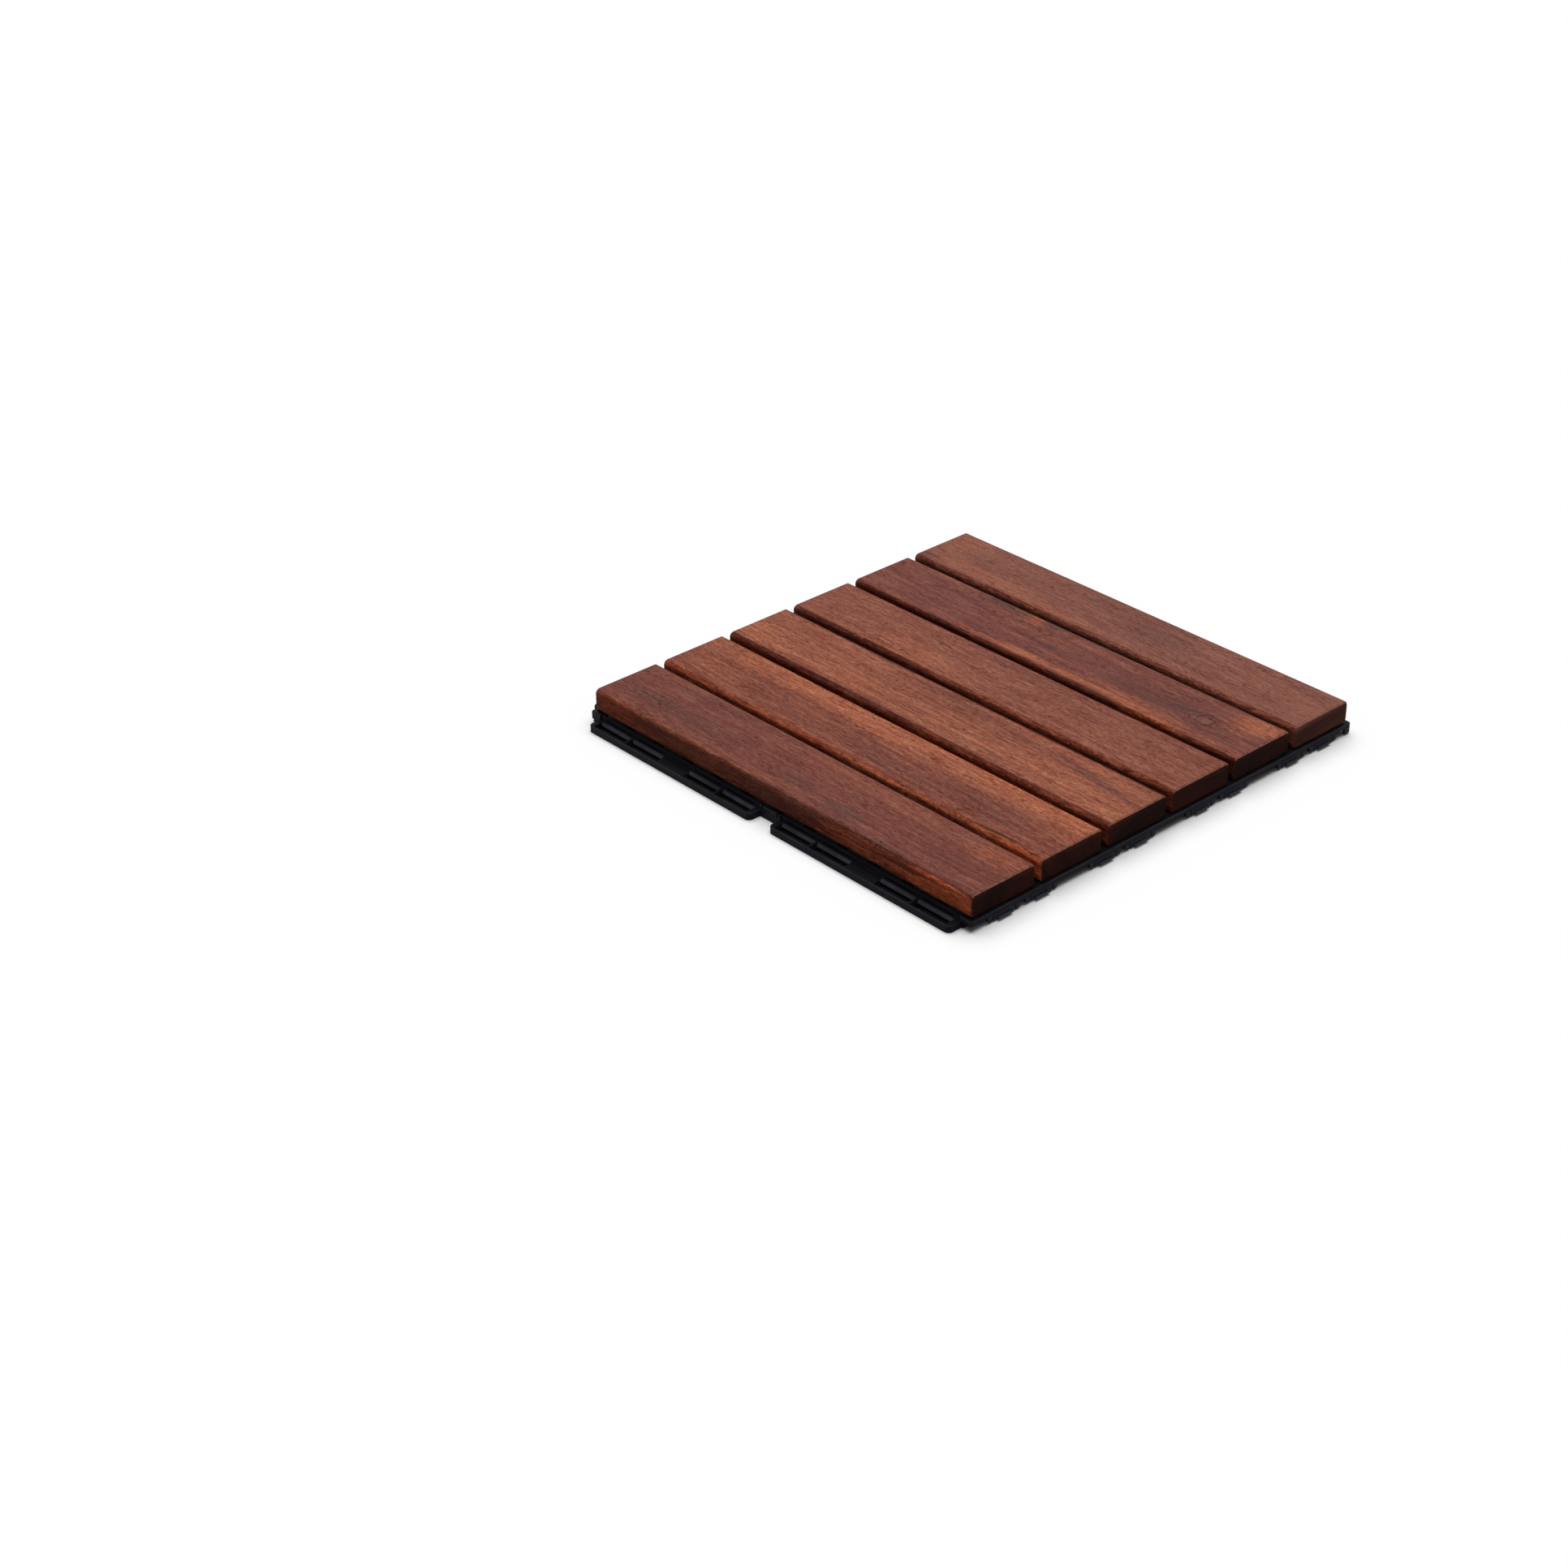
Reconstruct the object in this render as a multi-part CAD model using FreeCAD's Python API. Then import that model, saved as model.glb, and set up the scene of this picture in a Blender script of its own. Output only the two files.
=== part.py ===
"""Interlocking deck tile.

Six hardwood slats lie side by side on a one-piece moulded base, and screws driven
up through the base hold them. Two sides of the base carry open loops. The other two
carry a rim with snap tongues, which press down into the loops of the next tile.

Frame: millimetres, +Z up, origin on the ground under the centre of the slats. The
slats run along X. The loops stand out on the -X and -Y sides, and the snap tongues
hang under the rim on the +X and +Y sides.
"""

import FreeCAD, Part
import math
import os

Vector = FreeCAD.Vector

# Slats
SLAT_COUNT = 6
SLAT_LENGTH = 300.0
SLAT_WIDTH = 46.5
SLAT_GAP = 4.2
SLAT_THICKNESS = 14.0
SLAT_EDGE_RADIUS = 3.0
SLAT_END_CHAMFER = 0.8

# Base lattice
BASE_HEIGHT = 7.0
RIB_WALL = 1.6
RIB_CLEAR_OF_GROUND = 1.2
BAYS_ALONG_SLATS = 12
RIBS_PER_SLAT = 2
FOOT_RADIUS = 4.0
FOOT_HEIGHT = 2.6
FOOT_RIBS_ALONG = (-3, 0, 3)
FOOT_RIBS_ACROSS = (-4, 0, 4)

# Rim of the base, measured outward from the edge of the slats
RIM_OVERHANG = 2.0
RIM_CORNER_RADIUS = 1.5
RIM_TOP_RADIUS = 0.6
LOOP_SIDE_FACE = 1.0
LOOP_SIDE_WALL = 1.4
CORNER_BAND_HEIGHT = 4.6

# Snap tongues
PAIRS_PER_SIDE = 4
TONGUE_WIDTH = 24.5
TONGUE_NOTCH = 3.0
TONGUE_WALL = 1.8
TONGUE_TAPER = 0.8
TONGUE_CORNER_RADIUS = 1.0
TONGUE_SLIT_WIDTH = 0.7
TONGUE_SLIT_INSET = 3.2
NOSE_WIDTH = 10.5
NOSE_REACH = 1.6
NOSE_HEIGHT = 1.1
NOSE_WINDOW_HEIGHT = 0.7
BEAD_HEIGHT = 0.35
BEAD_REACH = 0.25
FLANGE_THICKNESS = 2.4
CORNER_POST_LENGTH = 5.0

# Loops
LOOP_REACH = 10.3
LOOP_WALL = 1.0
LOOP_RIB = 1.6
LOOP_END_WALL = 3.6
LOOP_CORNER_RADIUS = 3.0
LOOP_TOP_RADIUS = 0.4
BRIDGE_SINK = 0.8
BRIDGE_THICKNESS = 1.8
CATCH_FACE = 2.5
CATCH_LIP_REACH = 1.4
CATCH_LIP_HEIGHT = 0.4
LEDGE_THICKNESS = 0.8
LEDGE_REACH = 2.1
SIDE_WINDOW_HEIGHT = 0.8
SIDE_WINDOW_INSET = 2.0
NOTCH_WIDTH = 1.2
NOTCH_DEPTH = 2.2
NOTCH_FROM_LOOP = 1.6

# Clearances between neighbouring tiles
SNAP_CLEARANCE = 0.2
SEAT_CLEARANCE = 0.4
CHANNEL_CLEARANCE = 0.4

# Screws
SCREW_RIBS = (-5, -2, 2, 5)
SCREW_RADIUS = 1.75
SCREW_POINT_LENGTH = 3.0
SCREW_BITE = 10.0
SCREW_HEAD_RADIUS = 3.4
SCREW_HEAD_HEIGHT = 2.0
SCREW_HEAD_ROUNDING = 0.8
SCREW_RECESS_SPAN = 3.6
SCREW_RECESS_WIDTH = 0.8
SCREW_RECESS_DEPTH = 1.2
BOSS_RADIUS = 5.0
BOSS_SEAT_HEIGHT = 3.0
BOSS_HEAD_CLEARANCE = 0.4
BOSS_HOLE_CLEARANCE = 0.2

# Worked out from the sizes above
SLAT_PITCH = SLAT_WIDTH + SLAT_GAP
HALF_X = SLAT_LENGTH / 2
HALF_Y = (SLAT_COUNT * SLAT_PITCH - SLAT_GAP) / 2
RIB_PITCH_X = SLAT_LENGTH / BAYS_ALONG_SLATS
RIB_PITCH_Y = SLAT_PITCH / RIBS_PER_SLAT
FLANGE_BOTTOM = BASE_HEIGHT - FLANGE_THICKNESS
LOOP_HEIGHT = FLANGE_BOTTOM - SEAT_CLEARANCE
TONGUE_BOTTOM = LEDGE_THICKNESS + SNAP_CLEARANCE
NOSE_TOP = TONGUE_BOTTOM + NOSE_HEIGHT
LIP_BOTTOM = NOSE_TOP + SNAP_CLEARANCE
CATCH_LIP = CATCH_FACE + CATCH_LIP_REACH
TILE_JOINT = CATCH_LIP + SNAP_CLEARANCE + RIM_OVERHANG
CHANNEL_FACE = LOOP_REACH - TILE_JOINT + CHANNEL_CLEARANCE
CELL_WIDTH = TONGUE_WIDTH + TONGUE_NOTCH - LOOP_RIB
SEGMENT_OFFSET = (TONGUE_WIDTH + TONGUE_NOTCH) / 2
PAIR_HALF = LOOP_RIB / 2 + CELL_WIDTH
OVERLAP = 0.5

# Each side is built as the -Y side, then turned about Z by this angle in degrees
FRONT, RIGHT, BACK, LEFT = 0, 90, 180, -90


def box(x, y, z):
    """Box from three (low, high) ranges."""
    corner = Vector(x[0], y[0], z[0])
    return Part.makeBox(x[1] - x[0], y[1] - y[0], z[1] - z[0], corner)


def rounded_face(corners, to_space):
    """Flat face of straight runs whose corners (a, b, radius) are rounded by arcs."""
    arcs = []
    for index, (a, b, radius) in enumerate(corners):
        here = Vector(a, b, 0)
        last = corners[index - 1]
        following = corners[(index + 1) % len(corners)]
        back = (Vector(last[0], last[1], 0) - here).normalize()
        ahead = (Vector(following[0], following[1], 0) - here).normalize()
        half_angle = back.getAngle(ahead) / 2
        tangent = radius / math.tan(half_angle)
        inward = (back + ahead).normalize()
        middle = here + inward * (radius / math.sin(half_angle) - radius)
        arcs.append((here + back * tangent, middle, here + ahead * tangent, radius))
    edges = []
    for index, (start, middle, end, radius) in enumerate(arcs):
        start, middle, end = (to_space(p.x, p.y) for p in (start, middle, end))
        if radius > 0:
            edges.append(Part.Arc(start, middle, end).toShape())
        run_end = arcs[(index + 1) % len(arcs)][0]
        edges.append(Part.makeLine(end, to_space(run_end.x, run_end.y)))
    return Part.Face(Part.Wire(edges))


def along_side(corners, start, end):
    """Prism along a side from a section of (outward, height, radius) corners."""
    face = rounded_face(corners, lambda out, height: Vector(start, -out, height))
    return face.extrude(Vector(end - start, 0, 0))


def from_edge(x, out, z):
    """Box on the -Y side, with its second range measured outward from the slats."""
    return box(x, (-out[1], -out[0]), z)


def on_side(shape, turn):
    """Move what was built beside the X axis to the edge of the slats on one side."""
    reach = HALF_Y if turn in (FRONT, BACK) else HALF_X
    placed = shape.copy()
    placed.translate(Vector(0, -reach, 0))
    placed.rotate(Vector(0, 0, 0), Vector(0, 0, 1), turn)
    return placed


def half_length(turn):
    """Half the length of the slat field along one side."""
    return HALF_X if turn in (FRONT, BACK) else HALF_Y


def pair_centres(turn):
    """Middle of each pair of tongues, or of loop cells, along one side."""
    pitch = 2 * (half_length(turn) + RIM_OVERHANG) / PAIRS_PER_SIDE
    first = -pitch * (PAIRS_PER_SIDE - 1) / 2
    return [first + pitch * index for index in range(PAIRS_PER_SIDE)]


def cell_centres(turn):
    """Middle of each tongue, and of the loop cell that takes it."""
    return [centre + side * SEGMENT_OFFSET for centre in pair_centres(turn) for side in (-1, 1)]


def fuse_all(shapes):
    """One shape from many, with the seams between flush faces removed."""
    return shapes[0].multiFuse(shapes[1:]).removeSplitter()


def slat_centres():
    """Y of the middle of each slat, from -Y to +Y."""
    return [SLAT_PITCH * (index - (SLAT_COUNT - 1) / 2) for index in range(SLAT_COUNT)]


def screw_stations():
    """X of each screw along a slat, on the cross ribs of the lattice."""
    return [RIB_PITCH_X * rib for rib in SCREW_RIBS]


def make_slat(y_centre):
    """Plank with rounded long edges, eased sawn ends and a pilot hole for each screw."""
    half_width = SLAT_WIDTH / 2
    top = BASE_HEIGHT + SLAT_THICKNESS
    section = rounded_face(
        [
            (-half_width, BASE_HEIGHT, SLAT_EDGE_RADIUS),
            (half_width, BASE_HEIGHT, SLAT_EDGE_RADIUS),
            (half_width, top, SLAT_EDGE_RADIUS),
            (-half_width, top, SLAT_EDGE_RADIUS),
        ],
        lambda y, z: Vector(-HALF_X, y_centre + y, z),
    )
    plank = section.extrude(Vector(SLAT_LENGTH, 0, 0))
    sawn = [edge for edge in plank.Edges if edge.BoundBox.XLength < SLAT_LENGTH / 2]
    plank = plank.makeChamfer(SLAT_END_CHAMFER, sawn)
    holes = [
        Part.makeCylinder(SCREW_RADIUS, SCREW_BITE, Vector(x, y_centre, BASE_HEIGHT))
        for x in screw_stations()
    ]
    return plank.cut(Part.makeCompound(holes))


def make_screw(x, y):
    """Pan-head wood screw, driven from below, with a cross recess in its head."""
    head_bottom = BOSS_SEAT_HEIGHT - SCREW_HEAD_HEIGHT
    tip = BASE_HEIGHT + SCREW_BITE
    half_section = rounded_face(
        [
            (0, head_bottom, 0),
            (SCREW_HEAD_RADIUS, head_bottom, SCREW_HEAD_ROUNDING),
            (SCREW_HEAD_RADIUS, BOSS_SEAT_HEIGHT, 0),
            (SCREW_RADIUS, BOSS_SEAT_HEIGHT, 0),
            (SCREW_RADIUS, tip - SCREW_POINT_LENGTH, 0),
            (0, tip, 0),
        ],
        lambda radius, z: Vector(radius, 0, z),
    )
    screw = half_section.revolve(Vector(0, 0, 0), Vector(0, 0, 1), 360)
    long_way = (-SCREW_RECESS_SPAN / 2, SCREW_RECESS_SPAN / 2)
    short_way = (-SCREW_RECESS_WIDTH / 2, SCREW_RECESS_WIDTH / 2)
    depth = (head_bottom, head_bottom + SCREW_RECESS_DEPTH)
    recess = box(long_way, short_way, depth).fuse(box(short_way, long_way, depth))
    screw = screw.cut(recess)
    screw.translate(Vector(x, y, 0))
    return screw


def rib_lines(low_face, high_face, pitch, count):
    """Edges (low, high) of each rib, between the inner faces of the rim walls."""
    lines = [pitch * index for index in range(-count, count + 1)]
    inside = [line for line in lines if low_face + RIB_WALL < line < high_face - RIB_WALL]
    return [(line - RIB_WALL / 2, line + RIB_WALL / 2) for line in inside]


def bays(low_face, high_face, pitch, count):
    """Open ranges between the ribs, from one rim wall to the other."""
    ribs = rib_lines(low_face, high_face, pitch, count)
    starts = [low_face] + [rib[1] for rib in ribs]
    ends = [rib[0] for rib in ribs] + [high_face]
    return list(zip(starts, ends))


def rectangle(x, y, z):
    """Closed rectangular wire at one height."""
    points = [(x[0], y[0]), (x[1], y[0]), (x[1], y[1]), (x[0], y[1]), (x[0], y[0])]
    return Part.makePolygon([Vector(a, b, z) for a, b in points])


def face_with_holes(wires):
    """Flat face inside the outer wire and outside the others."""
    return Part.makeFace(Part.makeCompound(wires), "Part::FaceMakerBullseye")


def make_lattice():
    """Square ribs that carry the slats, inside a rim wall that stands on the ground."""
    outer_x = (-HALF_X - LOOP_SIDE_FACE, HALF_X - CHANNEL_FACE)
    outer_y = (-HALF_Y - LOOP_SIDE_FACE, HALF_Y - CHANNEL_FACE)
    inner_x = (outer_x[0] + LOOP_SIDE_WALL, outer_x[1] - LOOP_SIDE_WALL)
    inner_y = (outer_y[0] + LOOP_SIDE_WALL, outer_y[1] - LOOP_SIDE_WALL)
    bays_x = bays(*inner_x, RIB_PITCH_X, BAYS_ALONG_SLATS // 2)
    bays_y = bays(*inner_y, RIB_PITCH_Y, SLAT_COUNT * RIBS_PER_SLAT // 2)
    low = RIB_CLEAR_OF_GROUND
    openings = [rectangle(x, y, low) for x in bays_x for y in bays_y]
    ribs = face_with_holes([rectangle(outer_x, outer_y, low)] + openings)
    wall = face_with_holes([rectangle(outer_x, outer_y, 0), rectangle(inner_x, inner_y, 0)])
    return [
        ribs.extrude(Vector(0, 0, BASE_HEIGHT - low)),
        wall.extrude(Vector(0, 0, low)),
    ]


def make_bosses_and_feet():
    """Round screw bosses under the slats, and plain feet at other rib crossings."""
    bosses = [
        Part.makeCylinder(BOSS_RADIUS, BASE_HEIGHT, Vector(x, y, 0))
        for x in screw_stations()
        for y in slat_centres()
    ]
    feet = [
        Part.makeCylinder(FOOT_RADIUS, FOOT_HEIGHT, Vector(i * RIB_PITCH_X, j * RIB_PITCH_Y, 0))
        for i in FOOT_RIBS_ALONG
        for j in FOOT_RIBS_ACROSS
    ]
    return bosses + feet


def make_rim_outline():
    """Block with the outline of the rim, rounded at its corners and along its top."""
    x = (-HALF_X - RIM_OVERHANG, HALF_X + RIM_OVERHANG)
    y = (-HALF_Y - RIM_OVERHANG, HALF_Y + RIM_OVERHANG)
    block = box(x, y, (0, BASE_HEIGHT))
    upright = [edge for edge in block.Edges if edge.BoundBox.ZLength > BASE_HEIGHT / 2]
    block = block.makeFillet(RIM_CORNER_RADIUS, upright)
    top = [edge for edge in block.Edges if edge.BoundBox.ZMin > BASE_HEIGHT / 2]
    return block.makeFillet(RIM_TOP_RADIUS, top)


def make_rim():
    """Flange over the tongues, the blocks between the loops, and the corners."""
    pieces = []
    for turn in (RIGHT, BACK):
        ends = half_length(turn) + RIM_OVERHANG
        flange = from_edge(
            (-ends, ends),
            (-CHANNEL_FACE - LOOP_SIDE_WALL, RIM_OVERHANG),
            (FLANGE_BOTTOM, BASE_HEIGHT),
        )
        pieces.append(on_side(flange, turn))
    for turn in (FRONT, LEFT):
        between_loops = pair_centres(turn)[PAIRS_PER_SIDE // 2] - PAIR_HALF - LOOP_END_WALL
        block = from_edge(
            (-between_loops - OVERLAP, between_loops + OVERLAP),
            (0, RIM_OVERHANG),
            (0, BASE_HEIGHT),
        )
        pieces.append(on_side(block, turn))
    x_end = -HALF_X - RIM_OVERHANG
    y_end = -HALF_Y - RIM_OVERHANG
    x_loop = pair_centres(FRONT)[0] - PAIR_HALF - LOOP_END_WALL + OVERLAP
    y_loop = pair_centres(LEFT)[0] - PAIR_HALF - LOOP_END_WALL + OVERLAP
    band = (BASE_HEIGHT - CORNER_BAND_HEIGHT, BASE_HEIGHT)
    pieces.append(box((x_end, x_loop), (y_end, -HALF_Y), band))
    pieces.append(box((x_end, -HALF_X), (y_end, y_loop), band))
    x_corner = HALF_X + RIM_OVERHANG
    y_corner = HALF_Y + RIM_OVERHANG
    post = (TONGUE_BOTTOM, BASE_HEIGHT)
    x_leg = (x_corner - CORNER_POST_LENGTH, x_corner)
    y_leg = (y_corner - CORNER_POST_LENGTH, y_corner)
    pieces.append(box(x_leg, (y_corner - TONGUE_WALL, y_corner), post))
    pieces.append(box((x_corner - TONGUE_WALL, x_corner), y_leg, post))
    return fuse_all(pieces).common(make_rim_outline())


def make_tongue():
    """Hanging wall with rounded feet, slit each side of a middle that bears a nose."""
    half_top = TONGUE_WIDTH / 2
    half_foot = half_top - TONGUE_TAPER
    inner_face = RIM_OVERHANG - TONGUE_WALL
    wall_face = rounded_face(
        [
            (-half_top, FLANGE_BOTTOM + OVERLAP, 0),
            (-half_foot, TONGUE_BOTTOM, TONGUE_CORNER_RADIUS),
            (half_foot, TONGUE_BOTTOM, TONGUE_CORNER_RADIUS),
            (half_top, FLANGE_BOTTOM + OVERLAP, 0),
        ],
        lambda x, z: Vector(x, -inner_face, z),
    )
    wall = wall_face.extrude(Vector(0, -TONGUE_WALL, 0))
    tip = RIM_OVERHANG + NOSE_REACH
    nose = along_side(
        [
            (inner_face, TONGUE_BOTTOM, 0),
            (RIM_OVERHANG + NOSE_REACH / 3, TONGUE_BOTTOM, 0),
            (tip, TONGUE_BOTTOM + NOSE_HEIGHT / 2, 0),
            (tip, NOSE_TOP, 0),
            (inner_face, NOSE_TOP, 0),
        ],
        -NOSE_WIDTH / 2,
        NOSE_WIDTH / 2,
    )
    window_top = NOSE_TOP + NOSE_WINDOW_HEIGHT
    half_nose = (-NOSE_WIDTH / 2, NOSE_WIDTH / 2)
    bead = from_edge(
        half_nose,
        (RIM_OVERHANG - OVERLAP, RIM_OVERHANG + BEAD_REACH),
        (window_top, window_top + BEAD_HEIGHT),
    )
    through = (inner_face - OVERLAP, RIM_OVERHANG + OVERLAP)
    cuts = [from_edge(half_nose, through, (NOSE_TOP, window_top))]
    for side in (-1, 1):
        middle = side * (half_foot - TONGUE_SLIT_INSET)
        slit = (middle - TONGUE_SLIT_WIDTH / 2, middle + TONGUE_SLIT_WIDTH / 2)
        cuts.append(from_edge(slit, through, (TONGUE_BOTTOM - OVERLAP, FLANGE_BOTTOM)))
    return wall.fuse([nose, bead]).cut(Part.makeCompound(cuts))


def make_tongues():
    """Pairs of snap tongues under the rim on the +X and +Y sides."""
    tongue = make_tongue()
    tongues = []
    for turn in (RIGHT, BACK):
        for centre in cell_centres(turn):
            piece = tongue.copy()
            piece.translate(Vector(centre, 0, 0))
            tongues.append(on_side(piece, turn))
    return tongues


def make_loop(turn, first_pair):
    """Loop frame round two pairs of cells, with a catch rail inside each cell."""
    centres = pair_centres(turn)[first_pair:first_pair + 2]
    cells = cell_centres(turn)[2 * first_pair:2 * first_pair + 4]
    start = centres[0] - PAIR_HALF - LOOP_END_WALL
    end = centres[1] + PAIR_HALF + LOOP_END_WALL
    outline = rounded_face(
        [
            (start, 0, 0),
            (start, -LOOP_REACH, LOOP_CORNER_RADIUS),
            (end, -LOOP_REACH, LOOP_CORNER_RADIUS),
            (end, 0, 0),
        ],
        lambda x, y: Vector(x, y, 0),
    )
    frame = outline.extrude(Vector(0, 0, LOOP_HEIGHT))
    rim = [
        edge
        for edge in frame.Edges
        if edge.BoundBox.ZMin > LOOP_HEIGHT / 2 and edge.BoundBox.YMin < -LOOP_CORNER_RADIUS
    ]
    frame = frame.makeFillet(LOOP_TOP_RADIUS, rim)
    inside = LOOP_REACH - LOOP_WALL
    cuts = []
    rails = []
    rail_section = [
        (CATCH_FACE - OVERLAP, LOOP_HEIGHT, 0),
        (CATCH_FACE, LOOP_HEIGHT, 0),
        (CATCH_LIP, LIP_BOTTOM + CATCH_LIP_HEIGHT, 0),
        (CATCH_LIP, LIP_BOTTOM, 0),
        (CATCH_FACE, LIP_BOTTOM, 0),
        (CATCH_FACE, LEDGE_THICKNESS, 0),
        (CATCH_FACE + LEDGE_REACH, LEDGE_THICKNESS, 0),
        (CATCH_FACE + LEDGE_REACH, 0, 0),
        (CATCH_FACE - OVERLAP, 0, 0),
    ]
    for cell in cells:
        span = (cell - CELL_WIDTH / 2, cell + CELL_WIDTH / 2)
        cuts.append(from_edge(span, (CATCH_FACE, inside), (0, LOOP_HEIGHT)))
        rails.append(along_side(rail_section, *span))
    bridge = (centres[0] + PAIR_HALF, centres[1] - PAIR_HALF)
    bridge_top = LOOP_HEIGHT - BRIDGE_SINK
    depth = (CATCH_FACE, inside)
    cuts.append(from_edge(bridge, depth, (bridge_top, LOOP_HEIGHT)))
    cuts.append(from_edge(bridge, depth, (0, bridge_top - BRIDGE_THICKNESS)))
    return frame.cut(Part.makeCompound(cuts)).fuse(rails)


def make_loops():
    """Two loop frames on each of the -X and -Y sides."""
    return [
        on_side(make_loop(turn, first_pair), turn)
        for turn in (FRONT, LEFT)
        for first_pair in range(0, PAIRS_PER_SIDE, 2)
    ]


def side_cuts():
    """Windows above the cells, and the notches beside the loops, on the loop sides."""
    cuts = []
    through = (LOOP_SIDE_FACE - LOOP_SIDE_WALL, RIM_OVERHANG)
    low = LOOP_HEIGHT + SNAP_CLEARANCE
    half_window = CELL_WIDTH / 2 - SIDE_WINDOW_INSET
    for turn in (FRONT, LEFT):
        for cell in cell_centres(turn):
            span = (cell - half_window, cell + half_window)
            window = from_edge(span, through, (low, low + SIDE_WINDOW_HEIGHT))
            cuts.append(on_side(window, turn))
        loop_end = pair_centres(turn)[PAIRS_PER_SIDE // 2] - PAIR_HALF - LOOP_END_WALL
        for side in (-1, 1):
            middle = side * (loop_end - NOTCH_FROM_LOOP)
            span = (middle - NOTCH_WIDTH / 2, middle + NOTCH_WIDTH / 2)
            notch = from_edge(span, through, (BASE_HEIGHT - NOTCH_DEPTH, BASE_HEIGHT))
            cuts.append(on_side(notch, turn))
    return cuts


def screw_holes():
    """Counterbored clearance hole in the middle of each boss."""
    holes = []
    for x in screw_stations():
        for y in slat_centres():
            head = SCREW_HEAD_RADIUS + BOSS_HEAD_CLEARANCE
            shank = SCREW_RADIUS + BOSS_HOLE_CLEARANCE
            holes.append(Part.makeCylinder(head, BOSS_SEAT_HEIGHT, Vector(x, y, 0)))
            holes.append(Part.makeCylinder(shank, BASE_HEIGHT, Vector(x, y, 0)))
    return holes


def make_base():
    """The whole base, as it comes out of its mould in one piece."""
    pieces = make_lattice() + make_bosses_and_feet() + [make_rim()]
    pieces += make_tongues() + make_loops()
    body = fuse_all(pieces)
    body = body.cut(Part.makeCompound(side_cuts()))
    return body.cut(screw_holes())


def save(name, shape):
    """Write one named piece of the tile."""
    shape.exportStep(os.path.join("parts", name + ".step"))
    print(name, "solids", len(shape.Solids), "valid", shape.isValid(), "volume", round(shape.Volume))


os.makedirs("parts", exist_ok=True)
save("base_grid", make_base())
for number, centre in enumerate(slat_centres(), start=1):
    save(f"slat_{number}", make_slat(centre))
save("screws", Part.makeCompound([make_screw(x, y) for y in slat_centres() for x in screw_stations()]))
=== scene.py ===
"""Looks of an interlocking deck tile: six oiled hardwood slats on a black moulded base.

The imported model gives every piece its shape, its size and its place. This script gives
each piece the finish that it has on the real tile, and sets the tile on a pale floor
under soft studio light.

Lengths are in metres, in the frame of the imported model: +Z up, the ground at z = 0, the
slats along X, the open loops on the -X and -Y sides.
"""

from __future__ import annotations

import logging
import math
from dataclasses import dataclass
from enum import Enum
from typing import ClassVar, NamedTuple, Union

import bpy
from mathutils import Matrix, Vector

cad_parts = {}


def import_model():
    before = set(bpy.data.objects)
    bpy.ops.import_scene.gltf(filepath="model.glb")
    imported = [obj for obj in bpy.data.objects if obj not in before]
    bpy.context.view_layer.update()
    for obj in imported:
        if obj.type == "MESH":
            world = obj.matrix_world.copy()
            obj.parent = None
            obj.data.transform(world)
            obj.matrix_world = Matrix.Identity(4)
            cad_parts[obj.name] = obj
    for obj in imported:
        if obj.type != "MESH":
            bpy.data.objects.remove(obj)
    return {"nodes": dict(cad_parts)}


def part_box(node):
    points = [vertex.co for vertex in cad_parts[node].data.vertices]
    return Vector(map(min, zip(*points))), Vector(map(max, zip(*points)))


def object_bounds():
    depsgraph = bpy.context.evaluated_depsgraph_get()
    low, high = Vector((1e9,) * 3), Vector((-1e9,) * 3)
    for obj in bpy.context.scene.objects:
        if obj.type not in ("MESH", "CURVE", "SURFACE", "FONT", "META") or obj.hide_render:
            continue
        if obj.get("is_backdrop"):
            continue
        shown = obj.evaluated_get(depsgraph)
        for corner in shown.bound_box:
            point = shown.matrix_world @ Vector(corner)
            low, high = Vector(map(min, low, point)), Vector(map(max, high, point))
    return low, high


LOG = logging.getLogger("deck_tile")
MM = 0.001

Colour = tuple[float, float, float, float]
Socket = bpy.types.NodeSocket
Outputs = bpy.types.NodeOutputs
Feed = Union[Socket, float, tuple]


def tone(red: int, green: int, blue: int) -> Colour:
    """Turn a colour as a screen shows it into the linear colour that a shader takes.

    Args:
        red: Red, from 0 to 255.
        green: Green, from 0 to 255.
        blue: Blue, from 0 to 255.

    Returns:
        The linear colour, with an alpha of 1.
    """
    knee, slope, offset, power = 0.04045, 12.92, 0.055, 2.4
    linear = []
    for channel in (red / 255, green / 255, blue / 255):
        bright = ((channel + offset) / (1 + offset)) ** power
        linear.append(channel / slope if channel <= knee else bright)
    return (linear[0], linear[1], linear[2], 1.0)


class Noise(NamedTuple):
    """Cloudy noise: its waves in a metre along each axis, and its finer layers."""

    along: float
    across: float
    down: float
    detail: float = 2.0
    roughness: float = 0.5


class Ramp(NamedTuple):
    """A smooth move of values from one range to another."""

    low: float
    high: float
    to_low: float = 0.0
    to_high: float = 1.0


class SocketKind(Enum):
    """What a socket of a node group carries."""

    VALUE = "NodeSocketFloat"
    VECTOR = "NodeSocketVector"


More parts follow.
